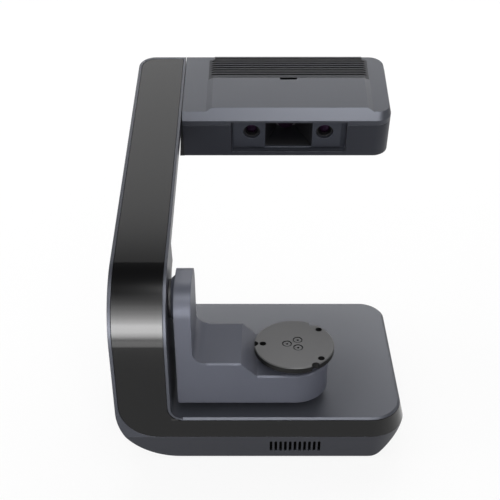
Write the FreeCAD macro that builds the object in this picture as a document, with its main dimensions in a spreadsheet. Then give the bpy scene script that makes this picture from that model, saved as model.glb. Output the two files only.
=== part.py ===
"""Desktop 3D scanner with a swinging turntable, as a parametric FreeCAD document.

Frame: millimetres, +X to the operator's right, +Y to the back, +Z up.  The pieces are drawn in the
machine frame, where X = 0 lies over the middle of the base's front, Y = 0 is the front face and
Z = 0 is the table.  Pieces of the arm's upper half and of the head are drawn in the arm frame:
X as before, Y along the arm from its knee and Z out of its top face.  At the end every piece is
moved so that the origin lies on the table, under the middle of the whole machine.
"""
import FreeCAD
import Part
import math
import os
import re
import Sketcher
from FreeCAD import Placement, Rotation, Vector

doc = FreeCAD.newDocument("DesktopScanner")
dimensions = doc.addObject("Spreadsheet::Sheet", "Dimensions")
layout = doc.addObject("Spreadsheet::Sheet", "Layout")

SIZES = [
    # base
    ("body_left", 133.5, "left wall, from the middle plane"),
    ("base_right", 141.8, "right wall at the trim's lower edge"),
    ("base_flare", 5.4, "how far the right wall leans in over the trim"),
    ("base_depth", 193.3, "front face to back face of the base"),
    ("base_height", 52.6, "underside to top of the base"),
    ("foot_height", 3, "rubber foot"),
    ("foot_radius", 10, "rubber foot"),
    ("foot_left", 62, "left feet, left of the middle plane"),
    ("foot_right", 90, "right feet, right of the middle plane"),
    ("foot_margin", 22, "foot centre to the base's front and back"),
    ("corner_round", 30, "rear corners of the base seen from above"),
    ("front_round", 36, "front right corner of the base seen from above"),
    ("left_round", 58.5, "lower left corner seen from the front"),
    ("undercut_run", 27.3, "how far the sloping right underside runs in"),
    ("undercut_round", 14, "round at the foot of the sloping right underside"),
    ("front_lean", 6, "how far the front leans back under the trim"),
    ("shell_wall", 2.5, "wall of the moulded shells"),
    ("cover_bevel", 1.9, "bevel around the base's top"),
    ("ballast_thickness", 12, "steel plate in the base"),
    ("boss_radius", 4, "screw bosses of the shells"),
    ("boss_left", 25, "left screw bosses, left of the middle plane"),
    ("boss_right", 75, "right screw bosses, right of the middle plane"),
    # gloss trim
    ("trim_height", 22.6, "base top to the trim's lower edge"),
    ("trim_lip", 2.5, "edge of the base above the trim"),
    ("trim_thickness", 2.4, "gloss trim"),
    ("trim_rim", 3.6, "shell visible left of the trim"),
    ("trim_rim_right", 3.1, "shell visible right of the trim"),
    ("trim_round", 36, "outer lower left corner of the trim"),
    ("trim_inner_round", 14, "inner corner of the trim between base and column"),
    ("trim_end_round", 15, "corner at the trim's end on the arm"),
    ("trim_gap", 0.5, "groove around the trim"),
    # column and arm
    ("arm_width", 52, "column and arm, left to right"),
    ("knee_height", 130.7, "base top to the corner of the two outer faces"),
    ("knee_round", 63, "outer bend"),
    ("arm_tilt", 15.6, "arm above the horizontal, in degrees"),
    ("arm_length", 366, "knee corner to the end of the arm"),
    ("arm_thickness", 36, "arm, square to its top face"),
    ("arm_draft", 3, "how far the arm's right wall leans in"),
    ("draft_start", 84, "knee corner to where the right wall starts to lean"),
    ("arm_end_round", 18, "left corner at the arm's end"),
    ("column_depth", 104, "column at the base's top"),
    ("inner_corner", 66, "front face to the corner under the arm"),
    ("inner_round", 16, "round under the arm"),
    ("coving", 11, "round between column and base"),
    ("side_wall", 5, "right wall of the column"),
    ("frame_place", 107, "left face of the cast frame, left of the middle plane"),
    ("frame_plate", 6, "cast frame"),
    ("frame_gap", 4, "shell to the cast frame"),
    ("frame_window_start", 100, "knee corner to the cast frame's first window"),
    ("frame_window", 40, "windows of the cast frame"),
    ("frame_window_pitch", 50, "windows of the cast frame"),
    ("frame_foot", 50, "right end of the frame's feet, left of the middle plane"),
    # head
    ("head_right", 143, "right end of the head"),
    ("head_lean", 2, "how far the head's right wall leans in over the bevel"),
    ("head_gap", 0.6, "arm to head"),
    ("head_length", 106.8, "head, along the arm"),
    ("head_height", 57.4, "head, square to its top face"),
    ("head_bevel", 7.1, "bevel of the front upper edge"),
    ("head_seam", 13.3, "depth of the seam between the two halves"),
    ("seam_gap", 0.4, "seam between the two halves"),
    ("head_round", 16, "right corners of the head"),
    ("head_top_round", 12, "front right corner of the head's top face"),
    ("head_edge", 3, "lower edges of the head"),
    ("panel_rise", 3, "raised middle of the top"),
    ("panel_left", 55.5, "raised middle, left foot"),
    ("panel_right", 123.6, "raised middle, right foot"),
    ("panel_slope", 6.3, "width of the raised middle's side slopes"),
    ("vent_length", 43, "vent cover, along the arm"),
    ("vent_plate", 2, "vent cover"),
    ("vent_barrel", 5, "hinge barrel of the vent cover"),
    ("vent_gap", 0.4, "gap around the vent cover"),
    ("pin_radius", 1.2, "hinge pin of the vent cover"),
    ("slat_count", 8, "louvre slats"),
    ("slat_pitch", 4.2, "louvre slats"),
    ("slat_width", 2.2, "louvre slats"),
    ("slat_start", 5, "vent cover's front edge to the first opening"),
    ("slat_margin", 2.2, "foot of the side slope to the louvre openings"),
    ("slat_groove", 1.3, "head's top face to the grooves in the side slopes"),
    ("notch_left", 24.3, "finger notch of the vent cover"),
    ("notch_right", 43.1, "finger notch of the vent cover"),
    ("notch_length", 4, "finger notch of the vent cover"),
    ("window_left", 29, "scanning window, left edge"),
    ("window_right", 95.5, "scanning window, right edge"),
    ("window_top", 9.7, "head's top face to the window"),
    ("window_bottom", 49.3, "head's top face to the window's lower edge"),
    ("window_depth", 5, "window recess"),
    ("bezel_plate", 2.5, "plate behind the window recess"),
    ("bezel_rim", 1.4, "how far the plate reaches behind the case"),
    ("pad_rise", 3.5, "raised fields around the cameras"),
    ("pad_bottom", 45, "lower edge of the raised fields"),
    ("left_pad", 26.8, "left edge of the left field"),
    ("right_pad", 89.8, "right edge of the right field"),
    ("left_camera", -6.8, "camera axis"),
    ("right_camera", 72, "camera axis"),
    ("camera_drop", 24.7, "head's top face to the camera axis"),
    ("camera_size", 25, "camera body"),
    ("camera_length", 13, "camera body"),
    ("lens_bore", 9.2, "camera openings of the window"),
    ("barrel_radius", 8.6, "camera barrel"),
    ("lens_radius", 7.4, "camera lens"),
    ("lens_curve", 14, "front face of the lenses"),
    ("projector_left", 7.8, "projector opening"),
    ("projector_right", 58.7, "projector opening"),
    ("projector_bottom", 48.3, "projector opening"),
    ("hood_wall", 1.2, "projector hood"),
    ("hood_depth", 35, "projector hood"),
    ("throat_left", 20.3, "projector hood, inner end"),
    ("throat_right", 41.6, "projector hood, inner end"),
    ("throat_height", 20, "projector hood, inner end"),
    ("optics_setback", 25.8, "head's front to the optics plate"),
    ("optics_plate", 3, "plate that carries cameras and projector"),
    ("optics_left", 45, "left end of the optics plate"),
    ("optics_right", 112, "right end of the optics plate"),
    ("engine_length", 28, "projector engine"),
    ("engine_width", 44, "projector engine"),
    ("beam_setback", 28, "arm's end to the cross beam's front"),
    ("beam_depth", 12, "cross beam"),
    ("beam_top", 38, "head's top face to the cross beam"),
    ("beam_bottom", 51, "head's top face to the cross beam's underside"),
    ("beam_right", 115, "right end of the cross beam"),
    ("neck_drop", 12, "arm's top face to the head's carrier"),
    ("neck_height", 18, "head's carrier inside the arm"),
    ("spacer_top", 4, "head's top face to the spacer between arm and head"),
    ("spacer_setback", 1.5, "head's front to that spacer"),
    ("fan_size", 38, "cooling fan"),
    ("fan_thickness", 9, "cooling fan"),
    ("fan_drop", 5.5, "head's top face to the fan"),
    ("fan_setback", 29.5, "arm's end to the fan's axis"),
    ("fan_hub", 8, "fan rotor"),
    ("fan_blades", 7, "fan rotor"),
    ("fin_count", 9, "heat sink"),
    # swing arm and cradle
    ("cradle_left", 75.5, "outer face of the swing arm, left of the middle plane"),
    ("swing_thickness", 15.5, "swing arm"),
    ("cradle_front", 13, "front face of the cradle"),
    ("cradle_width", 65, "cradle, front to back"),
    ("cradle_drop", 7, "base top to the cradle's underside"),
    ("cradle_low", 39.7, "base top to the cradle's low deck"),
    ("cradle_high", 54.3, "base top to the cradle's high deck"),
    ("deck_edge", 15.6, "right edge of the high deck, left of the middle plane"),
    ("pivot_height", 105.4, "base top to the swing axis"),
    ("swing_top", 23, "swing axis to the top of the swing arm"),
    ("swing_round", 24, "upper corners of the swing arm"),
    ("cradle_corner", 4, "lower left corner of the cradle"),
    ("cradle_ledge", 5, "thicker foot of the cradle's left wall"),
    ("cradle_round", 12, "round between swing arm and high deck"),
    ("cradle_rim", 1.5, "bevel around the cradle's decks"),
    ("hub_cone", 3.5, "cone of the swing arm towards the column"),
    ("hub_radius", 19, "small end of that cone"),
    ("collar_radius", 18, "dark collar between swing arm and column"),
    ("hub_gap", 0.6, "collar to column"),
    ("shaft_radius", 8, "swing shaft"),
    ("shaft_flange", 18, "swing shaft's flange"),
    ("swing_bearing", 14, "outer radius of the swing bearings"),
    ("swing_bearing_width", 8, "swing bearings"),
    ("housing_radius", 18, "bearing housing of the frame"),
    ("housing_length", 20, "bearing housing of the frame"),
    ("bracket_plate", 3, "steel bracket in the cradle"),
    ("swing_teeth", 54, "swing pulley"),
    ("swing_motor_teeth", 16, "swing motor's pulley"),
    ("swing_motor_drop", 21.6, "base top down to the swing motor's axis"),
    ("swing_motor_depth", 50, "front face to the swing motor's axis"),
    ("swing_motor_length", 31, "swing motor"),
    # turntable
    ("disc_place", 34.4, "turntable axis, right of the middle plane"),
    ("disc_top", 53.4, "base top to the turntable's face"),
    ("disc_radius", 38, "turntable"),
    ("disc_thickness", 6.6, "turntable"),
    ("disc_bevel", 0.8, "turntable's edge"),
    ("disc_notch", 3.9, "rim notches"),
    ("disc_hole", 3.15, "fixture holes"),
    ("disc_hole_left", 29.8, "axis to the left fixture hole"),
    ("disc_hole_right", 33.4, "axis to the other two fixture holes"),
    ("disc_hole_angle", 43, "angle of the other two, in degrees"),
    ("disc_screw_circle", 6.9, "axis to the disc's screws"),
    ("disc_screw_head", 4.4, "heads of the disc's screws"),
    ("spindle_radius", 4, "turntable spindle"),
    ("spindle_flange", 14, "turntable spindle"),
    ("spindle_bearing", 11, "outer radius of the spindle bearings"),
    ("spindle_bearing_width", 5, "spindle bearings"),
    ("spindle_teeth", 60, "turntable pulley"),
    ("spin_motor_teeth", 18, "turntable motor's pulley"),
    ("spin_motor_place", 35, "turntable motor's axis, left of the middle plane"),
    ("spin_motor_length", 25, "turntable motor"),
    ("bracket_rise", 14, "cradle's underside to the bracket"),
    # drives
    ("motor_size", 28, "both motors"),
    ("motor_shaft", 2.5, "both motors"),
    ("belt_pitch", 2, "toothed belts"),
    ("belt_width", 6, "toothed belts"),
    ("belt_thickness", 1.2, "toothed belts"),
    ("belt_gap", 0.3, "pulley to belt"),
    ("pulley_flange", 1, "pulley flanges"),
    ("running_gap", 0.05, "shaft in bore"),
    ("part_gap", 0.3, "loose fit between pieces"),
    # vents, sockets, boards and screws
    ("slot_count", 11, "vent slots in the base's front"),
    ("slot_pitch", 4.6, "vent slots"),
    ("slot_width", 2.6, "vent slots"),
    ("slot_height", 14.5, "vent slots"),
    ("slot_place", 35.5, "middle of the vent slots"),
    ("slot_drop", 7, "trim to vent slots"),
    ("board_thickness", 1.6, "circuit boards"),
    ("socket_plate", 2, "plate that carries the sockets"),
    ("socket_left", 92, "left end of that plate, left of the middle plane"),
    ("socket_right", 44, "right end of that plate, left of the middle plane"),
    ("socket_low", 9, "table to that plate"),
    ("socket_high", 31, "table to that plate's top"),
    ("inlet_place", 82, "power inlet, left of the middle plane"),
    ("inlet_radius", 3.2, "power inlet's bore"),
    ("inlet_pin", 1, "power inlet's pin"),
    ("usb_place", 67, "data socket, left of the middle plane"),
    ("button_place", 52, "power button, left of the middle plane"),
    ("button_radius", 5, "power button"),
    ("button_travel", 1.5, "power button"),
    ("screw_radius", 1.5, "screws"),
    ("screw_head", 2.8, "screw heads"),
    ("screw_head_height", 1.8, "screw heads"),
    ("socket_key", 1.2, "key sockets of the screws"),
]

PLACES = [
    ("base_bottom", "foot_height"),
    ("base_top", "foot_height + base_height"),
    ("trim_bottom", "base_top - trim_height"),
    ("trim_top", "base_top - trim_lip"),
    ("floor_top", "base_bottom + shell_wall"),
    ("ballast_top", "floor_top + ballast_thickness"),
    ("arm_right", "arm_width - body_left"),
    ("trim_left", "trim_rim - body_left"),
    ("trim_right", "arm_right - trim_rim_right"),
    ("knee_z", "base_top + knee_height"),
    ("undercut_grade", "(base_height - trim_height) / undercut_run"),
    ("undercut_half", "(sqrt(1 + undercut_grade ^ 2) - 1) / undercut_grade"),
    ("undercut_cos", "1 / sqrt(1 + undercut_grade ^ 2)"),
    ("undercut_sin", "undercut_grade * undercut_cos"),
    ("arm_rise", "sin(arm_tilt)"),
    ("arm_run", "cos(arm_tilt)"),
    ("arm_slope", "tan(arm_tilt)"),
    ("under_z", "knee_z - arm_thickness / arm_run"),
    ("inner_z", "under_z + inner_corner * arm_slope"),
    ("back_lean", "(column_depth - inner_corner) / (inner_z - base_top)"),
    ("lean_run", "sqrt(1 + back_lean * back_lean)"),
    ("column_in_left", "shell_wall - body_left"),
    ("column_in_right", "arm_right - side_wall"),
    ("column_in_front", "trim_thickness + shell_wall"),
    ("frame_left", "-frame_place"),
    ("frame_right", "frame_plate - frame_place"),
    ("pivot_z", "base_top + pivot_height"),
    ("pivot_y", "cradle_front + cradle_width / 2"),
    ("swing_top_z", "pivot_z + swing_top"),
    ("bracket_half", "swing_top - shell_wall - 1.5"),
    ("cradle_back", "cradle_front + cradle_width"),
    ("cradle_z", "base_top + cradle_drop"),
    ("low_z", "base_top + cradle_low"),
    ("high_z", "base_top + cradle_high"),
    ("deck_foot", "cradle_high - cradle_low - deck_edge"),
    ("swing_right", "swing_thickness - cradle_left"),
    ("disc_z", "base_top + disc_top"),
    ("disc_under", "disc_z - disc_thickness"),
    ("head_left", "arm_right + head_gap"),
    ("head_front", "arm_length - head_length"),
    ("panel_front", "head_front + head_bevel"),
    ("vent_front", "arm_length - vent_length"),
    ("optics_place", "head_front + optics_setback"),
    ("beam_front", "arm_length - beam_setback"),
    ("fan_place", "arm_length - fan_setback"),
    ("bezel_front", "head_front + shell_wall"),
    ("bezel_floor", "bezel_front + window_depth"),
    ("bezel_back", "bezel_floor + bezel_plate"),
    ("hood_end", "bezel_back + hood_depth"),
    ("hood_middle", "(throat_left + throat_right) / 2"),
    ("throat_middle", "projector_bottom - throat_height / 2"),
    ("vent_left", "panel_slope - panel_left"),
    ("vent_right", "panel_right - panel_slope"),
    ("vent_axis", "arm_length - vent_barrel"),
    ("vent_axis_w", "vent_barrel - panel_rise"),
    ("head_back", "arm_length * arm_run + (head_height - head_edge) * arm_rise"),
    ("origin_x", "(body_left - max(head_right; base_right)) / 2"),
    ("origin_y", "-max(head_back; base_depth) / 2"),
    ("belt_pocket", "belt_width + 2 * part_gap"),
    ("pulley_width", "belt_pocket + 2 * pulley_flange"),
    ("swing_pulley_r", "swing_teeth * belt_pitch / 2 / pi"),
    ("swing_motor_r", "swing_motor_teeth * belt_pitch / 2 / pi"),
    ("spindle_pulley_r", "spindle_teeth * belt_pitch / 2 / pi"),
    ("spin_motor_r", "spin_motor_teeth * belt_pitch / 2 / pi"),
    ("swing_motor_z", "base_top - swing_motor_drop"),
    ("swing_belt_x", "frame_left - 2 - pulley_width / 2"),
    ("spin_belt_z", "cradle_z + shell_wall + part_gap + 1 + pulley_width / 2"),
    ("bracket_z", "cradle_z + bracket_rise"),
    ("socket_y", "base_depth - shell_wall - socket_plate"),
    ("socket_z", "(socket_low + socket_high) / 2"),
    ("board_front", "column_depth + 6"),
    ("board_back", "socket_y - 6"),
    ("board_top", "socket_z - 5.5"),
    ("board_z", "board_top - board_thickness"),
]


def named(expression):
    """Put each alias's sheet in front of it."""
    def full(match):
        word = match.group(0)
        if word in SIZE_NAMES:
            return "Dimensions." + word
        if word in PLACE_NAMES:
            return "Layout." + word
        return word
    return re.sub(r"[a-z][a-z0-9_]*", full, str(expression))


SIZE_NAMES = {alias for alias, number, meaning in SIZES}
PLACE_NAMES = {alias for alias, formula in PLACES}
for row, (alias, number, meaning) in enumerate(SIZES, start=1):
    dimensions.set("A%d" % row, meaning)
    dimensions.set("B%d" % row, str(number))
    dimensions.setAlias("B%d" % row, alias)
for row, (alias, formula) in enumerate(PLACES, start=1):
    layout.set("A%d" % row, alias)
    layout.set("B%d" % row, "=" + named(formula))
    layout.setAlias("B%d" % row, alias)
doc.recompute()


def size(expression):
    """The number that an expression of the sheets' aliases has now."""
    return float(dimensions.evalExpression(named(expression)))


def bind(thing, **expressions):
    """Bind properties; a double underscore stands for a dot."""
    for path, expression in expressions.items():
        thing.setExpression(path.replace("__", "."), named(expression))
    return thing


# ---------------------------------------------------------------- building blocks

def box(name, x, y, z):
    """A box from its lowest and highest X, Y and Z."""
    block = doc.addObject("Part::Box", name)
    return bind(block, Length="(%s) - (%s)" % (x[1], x[0]), Width="(%s) - (%s)" % (y[1], y[0]),
                Height="(%s) - (%s)" % (z[1], z[0]), Placement__Base__x=x[0],
                Placement__Base__y=y[0], Placement__Base__z=z[0])


TURNS = {"X": Rotation(Vector(0, 1, 0), 90), "Y": Rotation(Vector(1, 0, 0), -90),
         "Z": Rotation()}


def rod(name, axis, x, y, z, radius):
    """A cylinder: the coordinate along its axis is a (low, high) pair."""
    places = {"X": x, "Y": y, "Z": z}
    low, high = places[axis]
    places[axis] = low
    cylinder = doc.addObject("Part::Cylinder", name)
    cylinder.Placement = Placement(Vector(), TURNS[axis])
    return bind(cylinder, Radius=radius, Height="(%s) - (%s)" % (high, low),
                Placement__Base__x=places["X"], Placement__Base__y=places["Y"],
                Placement__Base__z=places["Z"])


def taper(name, axis, x, y, z, radius_low, radius_high):
    """A cone frustum, placed as a rod."""
    places = {"X": x, "Y": y, "Z": z}
    low, high = places[axis]
    places[axis] = low
    cone = doc.addObject("Part::Cone", name)
    cone.Placement = Placement(Vector(), TURNS[axis])
    return bind(cone, Radius1=radius_low, Radius2=radius_high,
                Height="(%s) - (%s)" % (high, low), Placement__Base__x=places["X"],
                Placement__Base__y=places["Y"], Placement__Base__z=places["Z"])


def cut(name, base, *tools):
    """The base without its tools."""
    tool = tools[0] if len(tools) == 1 else join(name + "_tools", *tools)
    result = doc.addObject("Part::Cut", name)
    result.Base = base
    result.Tool = tool
    result.Refine = True
    return result


def join(name, *pieces):
    """One solid from pieces that touch or overlap."""
    result = doc.addObject("Part::MultiFuse", name)
    result.Shapes = list(pieces)
    result.Refine = True
    return result


def overlap(name, *pieces):
    """What all pieces have in common."""
    result = doc.addObject("Part::MultiCommon", name)
    result.Shapes = list(pieces)
    result.Refine = True
    return result


def group(name, pieces):
    """Separate solids in one node."""
    result = doc.addObject("Part::Compound", name)
    result.Links = list(pieces)
    return result


PLANES = {"XY": ("XY_Plane", "%s", False), "XZ": ("XZ_Plane", "-(%s)", True),
          "YZ": ("YZ_Plane", "%s", False)}


def quarters(points):
    """Split each half circle into two quarter circles."""
    result = []
    for index, point in enumerate(points):
        if point[-1] != "half":
            result.append(point)
            continue
        x0, y0, radius = point[:3]
        x1, y1 = points[(index + 1) % len(points)][:2]
        result.append((x0, y0, radius))
        result.append(("((%s) + (%s) + (%s) - (%s)) / 2" % (x0, x1, y1, y0),
                       "((%s) + (%s) - (%s) + (%s)) / 2" % (y0, y1, x1, x0), radius))
    return result


def arc_between(start, stop, radius, long_way):
    """An arc whose centre lies to the left of its chord, or to the right if radius < 0."""
    chord = stop - start
    left = Vector(-chord.y, chord.x, 0).normalize() * math.copysign(1, radius)
    reach = math.sqrt(max(radius ** 2 - (chord.Length / 2) ** 2, 0))
    centre = (start + stop) * 0.5 + left * (-reach if long_way else reach)
    first, last = (start, stop) if radius > 0 else (stop, start)
    angles = [math.atan2(spot.y - centre.y, spot.x - centre.x) for spot in (first, last)]
    if angles[1] < angles[0]:
        angles[1] += 2 * math.pi
    return Part.ArcOfCircle(Part.Circle(centre, Vector(0, 0, 1), abs(radius)), *angles)


def outline(body, name, plane, points, offset):
    """A closed sketch.  A point is (across, up) or (across, up, radius): the side that starts
    there is then an arc, whose centre lies to the left for a positive radius.  A fourth word
    is "half" for a half circle or "long" for an arc over more than half a circle."""
    role, shift, _ = PLANES[plane]
    sketch = body.newObject("Sketcher::SketchObject", name)
    support = next(part for part in body.Origin.OriginFeatures if part.Role == role)
    sketch.AttachmentSupport = [(support, "")]
    sketch.MapMode = "FlatFace"
    bind(sketch, AttachmentOffset__Base__z=shift % offset)
    points = quarters(points)
    spots = [Vector(size(point[0]), size(point[1]), 0) for point in points]
    ends = []
    for index, point in enumerate(points):
        start = spots[index]
        stop = spots[(index + 1) % len(points)]
        if len(point) == 2:
            sketch.addGeometry(Part.LineSegment(start, stop))
            ends.append((1, 2))
        else:
            radius = size(point[2])
            sketch.addGeometry(arc_between(start, stop, radius, point[-1] == "long"))
            ends.append((1, 2) if radius > 0 else (2, 1))
    for index, point in enumerate(points):
        previous = (index - 1) % len(points)
        sketch.addConstraint(Sketcher.Constraint("Coincident", previous, ends[previous][1],
                                                 index, ends[index][0]))
        for kind, place, expression in (("DistanceX", spots[index].x, point[0]),
                                        ("DistanceY", spots[index].y, point[1])):
            number = sketch.addConstraint(Sketcher.Constraint(kind, -1, 1, index,
                                                              ends[index][0], place))
            sketch.setExpression("Constraints[%d]" % number, named(expression))
        if len(point) > 2:
            number = sketch.addConstraint(Sketcher.Constraint("Radius", index,
                                                              abs(size(point[2]))))
            sketch.setExpression("Constraints[%d]" % number, named("abs(%s)" % point[2]))
    return sketch


def prism(name, plane, points, low, high):
    """A body: a closed outline on a plane, padded from low to high."""
    body = doc.addObject("PartDesign::Body", name)
    sketch = outline(body, name + "_outline", plane, points, low)
    pad = body.newObject("PartDesign::Pad", name + "_pad")
    pad.Profile = sketch
    pad.Reversed = PLANES[plane][2]
    bind(pad, Length="(%s) - (%s)" % (high, low))
    return body


def lofted(name, points, low, points_high, high):
    """A body between two outlines at two heights, with straight walls from one to the other."""
    body = doc.addObject("PartDesign::Body", name)
    foot = outline(body, name + "_foot", "XY", points, low)
    crown = outline(body, name + "_crown", "XY", points_high, high)
    loft = body.newObject("PartDesign::AdditiveLoft", name + "_loft")
    loft.Profile = foot
    loft.Sections = [crown]
    loft.Ruled = True
    return body


def turned(name, points):
    """A body of revolution about Z, from an outline of (radius, height) points."""
    body = doc.addObject("PartDesign::Body", name)
    sketch = outline(body, name + "_outline", "XZ", points, "0")
    turning = body.newObject("PartDesign::Revolution", name + "_turning")
    turning.Profile = sketch
    turning.ReferenceAxis = (sketch, ["V_Axis"])
    turning.Angle = 360
    return body


def near(edge, x=None, y=None, z=None, slack=0.01):
    """Whether a whole edge lies at the given coordinates."""
    bounds = edge.BoundBox
    spans = ((x, bounds.XMin, bounds.XMax), (y, bounds.YMin, bounds.YMax),
             (z, bounds.ZMin, bounds.ZMax))
    return all(place is None or (abs(low - place) < slack and abs(high - place) < slack)
               for place, low, high in spans)


def soften(body, kind, amount, wanted):
    """Fillet or chamfer a body's edges that the test names."""
    doc.recompute()
    tip = body.Tip
    names = ["Edge%d" % number for number, edge in enumerate(tip.Shape.Edges, start=1)
             if wanted(edge)]
    feature = body.newObject("PartDesign::" + kind, "%s_%s%d" % (body.Name, kind.lower(),
                                                                  len(body.Group)))
    feature.Base = (tip, names)
    bind(feature, **{"Radius" if kind == "Fillet" else "Size": amount})
    return body


def tilted(piece):
    """Put a tool that is drawn in the arm frame into the machine frame."""
    if piece.TypeId == "Part::Box":
        piece = group(piece.Name + "_tilted", [piece])
    piece.Placement = Placement(Vector(), Rotation(Vector(1, 0, 0), 1))
    return bind(piece, Placement__Rotation__Angle="arm_tilt", Placement__Base__z="knee_z")


def deep(name, x, along, depth):
    """A box in the arm frame: depth is a pair counted down from the arm's top face."""
    return box(name, x, along, ("-(%s)" % depth[1], "-(%s)" % depth[0]))


PARTS = []


def keep(piece, arm=False):
    """Hand in a piece: its name is its label, and it moves to its place in the row frame."""
    piece.Label = piece.Name
    if arm:
        piece.Placement = Placement(Vector(), Rotation(Vector(1, 0, 0), 1))
        bind(piece, Placement__Rotation__Angle="arm_tilt", Placement__Base__z="knee_z")
    bind(piece, Placement__Base__x="origin_x", Placement__Base__y="origin_y")
    PARTS.append(piece)
    return piece


def screw(name, x, y, z, up=-1, length="8"):
    """A pan-head screw along Z; up is where its head looks: 1 up, -1 down."""
    head = (z, "%s + screw_head_height" % z) if up > 0 else ("%s - screw_head_height" % z, z)
    shank = ("%s - (%s)" % (z, length), z) if up > 0 else (z, "%s + (%s)" % (z, length))
    key = ("%s + 0.8" % z, "%s + screw_head_height + 1" % z) if up > 0 else (
        "%s - screw_head_height - 1" % z, "%s - 0.8" % z)
    whole = join(name + "_blank", rod(name + "_head", "Z", x, y, head, "screw_head"),
                 rod(name + "_shank", "Z", x, y, shank, "screw_radius"))
    return cut(name, whole, rod(name + "_key", "Z", x, y, key, "socket_key"))


# ---------------------------------------------------------------- outer forms

def front_form(name, inset, low, high):
    """The machine's outline seen from the front, padded between two depths.  Over the sloping
    underside its right wall runs on, clear of the base."""
    corner = "(undercut_round - (%s)) * undercut_half" % inset
    foot = "base_right - undercut_run - (%s) * undercut_half" % inset
    bottom = "base_bottom + (%s)" % inset
    far = "(undercut_run + 20)"
    top = "knee_z + arm_length"
    points = [
        ("left_round - body_left", bottom),
        ("%s - %s" % (foot, corner), bottom, "undercut_round - (%s)" % inset),
        ("%s + %s * undercut_cos" % (foot, corner), "%s + %s * undercut_sin" % (bottom, corner)),
        ("%s + %s" % (foot, far), "%s + %s * undercut_grade" % (bottom, far)),
        ("%s + %s" % (foot, far), top),
        ("(%s) - body_left" % inset, top),
        ("(%s) - body_left" % inset, "base_bottom + left_round", "left_round - (%s)" % inset),
    ]
    return prism(name, "XZ", points, low, high)


def plan_points(inset, front, lean):
    """The base seen from above: its front edge moved back and its right wall moved in."""
    left = "(%s) - body_left" % inset
    right = "base_right - (%s) - (%s)" % (lean, inset)
    face = "(%s) + (%s)" % (front, inset)
    back = "base_depth - (%s)" % inset
    bend = "front_round - (%s) - (%s)" % (lean, inset)
    rear = "corner_round - (%s) - (%s)" % (lean, inset)
    rear_left = "corner_round - (%s)" % inset
    return [
        (left, face),
        ("base_right - front_round", face, bend),
        (right, "%s + %s" % (face, bend)),
        (right, "%s - (%s)" % (back, rear), rear),
        ("base_right - corner_round", back),
        ("corner_round - body_left", back, rear_left),
        (left, "base_depth - corner_round"),
    ]


def cover_block(name, inset, low, high):
    """The base over the trim's lower edge, inset by a wall; its right wall leans in."""
    def lean(z):
        return "base_flare * ((%s) - trim_bottom) / trim_height" % z
    if high == "base_top":
        seam = "base_top - cover_bevel"
        plan = join(name + "_bevelled",
                    lofted(name + "_plan", plan_points(inset, "0", lean(low)), low,
                           plan_points(inset, "0", lean(seam)), seam),
                    lofted(name + "_bevel", plan_points(inset, "0", lean(seam)), seam,
                           plan_points("cover_bevel", "0", lean(high)), high))
    else:
        plan = lofted(name + "_plan", plan_points(inset, "0", lean(low)), low,
                      plan_points(inset, "0", lean(high)), high)
    return overlap(name, plan, front_form(name + "_front", inset, "-1", "base_depth + 1"))


def tub_block(name, inset, low, high):
    """The base under the trim, inset by a wall; its front leans back towards the table."""
    def lean(z):
        return "front_lean * (trim_bottom - (%s)) / (trim_bottom - base_bottom)" % z
    plan = lofted(name + "_plan", plan_points(inset, lean(low), lean(low)), low,
                  plan_points(inset, lean(high), lean(high)), high)
    return overlap(name, plan, front_form(name + "_front", inset, "-1", "base_depth + 1"))


def bar(name, front, back, end, x, low="trim_bottom"):
    """Column and arm as one bent bar, its outer and inner faces inset."""
    corner_y = ("((column_depth - (%s) * lean_run - back_lean * (under_z + (%s) / arm_run - base_top))"
                " / (1 + back_lean * arm_slope))" % (back, back))
    corner_z = "(under_z + (%s) / arm_run + arm_slope * %s)" % (back, corner_y)
    foot = "column_depth - (%s) * lean_run" % back
    reach = "(arm_length - (%s))" % end
    under = "(arm_thickness - (%s))" % back
    knee = "knee_z - (%s) / arm_run + (%s) * arm_slope" % (front, front)
    body = prism(name, "YZ", [
        (front, low),
        (foot, low),
        (foot, "base_top"),
        (corner_y, corner_z),
        ("%s * arm_run + %s * arm_rise" % (reach, under),
         "knee_z + %s * arm_rise - %s * arm_run" % (reach, under)),
        ("%s * arm_run + (%s) * arm_rise" % (reach, front),
         "knee_z + %s * arm_rise - (%s) * arm_run" % (reach, front)),
        (front, knee),
    ], x[0], x[1])
    soften(body, "Fillet", "knee_round - (%s)" % front,
           lambda edge: near(edge, y=size(front), z=size(knee)))
    soften(body, "Fillet", "inner_round + (%s)" % back,
           lambda edge: near(edge, y=size(corner_y), z=size(corner_z)))
    return body


def end_corner(body, left, end, radius):
    """Round the left corner at the arm's end."""
    limit = size("(arm_length - (%s)) * arm_run" % end) - 0.01
    return soften(body, "Fillet", radius,
                  lambda edge: near(edge, x=size(left)) and edge.BoundBox.YMin > limit)


def coving_form(name, front):
    """The round between the column's right wall and the base's top."""
    return prism(name, "XZ", [
        ("arm_right - 1", "base_top - 1"), ("arm_right + coving", "base_top - 1"),
        ("arm_right + coving", "base_top", "-coving"), ("arm_right", "base_top + coving"),
        ("arm_right - 1", "base_top + coving")], front, "column_depth - 2")


outer_bar = end_corner(bar("outer_bar", "0", "0", "0", ("-body_left", "arm_right")),
                       "-body_left", "0", "arm_end_round")
column = overlap("column", outer_bar, front_form("column_front", "0", "-1", "arm_length + 60"))
body_outer = join("body_outer", cover_block("cover_outer", "0", "trim_bottom", "base_top"),
                  column, coving_form("coving_outer", "0"))

# ---------------------------------------------------------------- gloss trim and its groove

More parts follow.
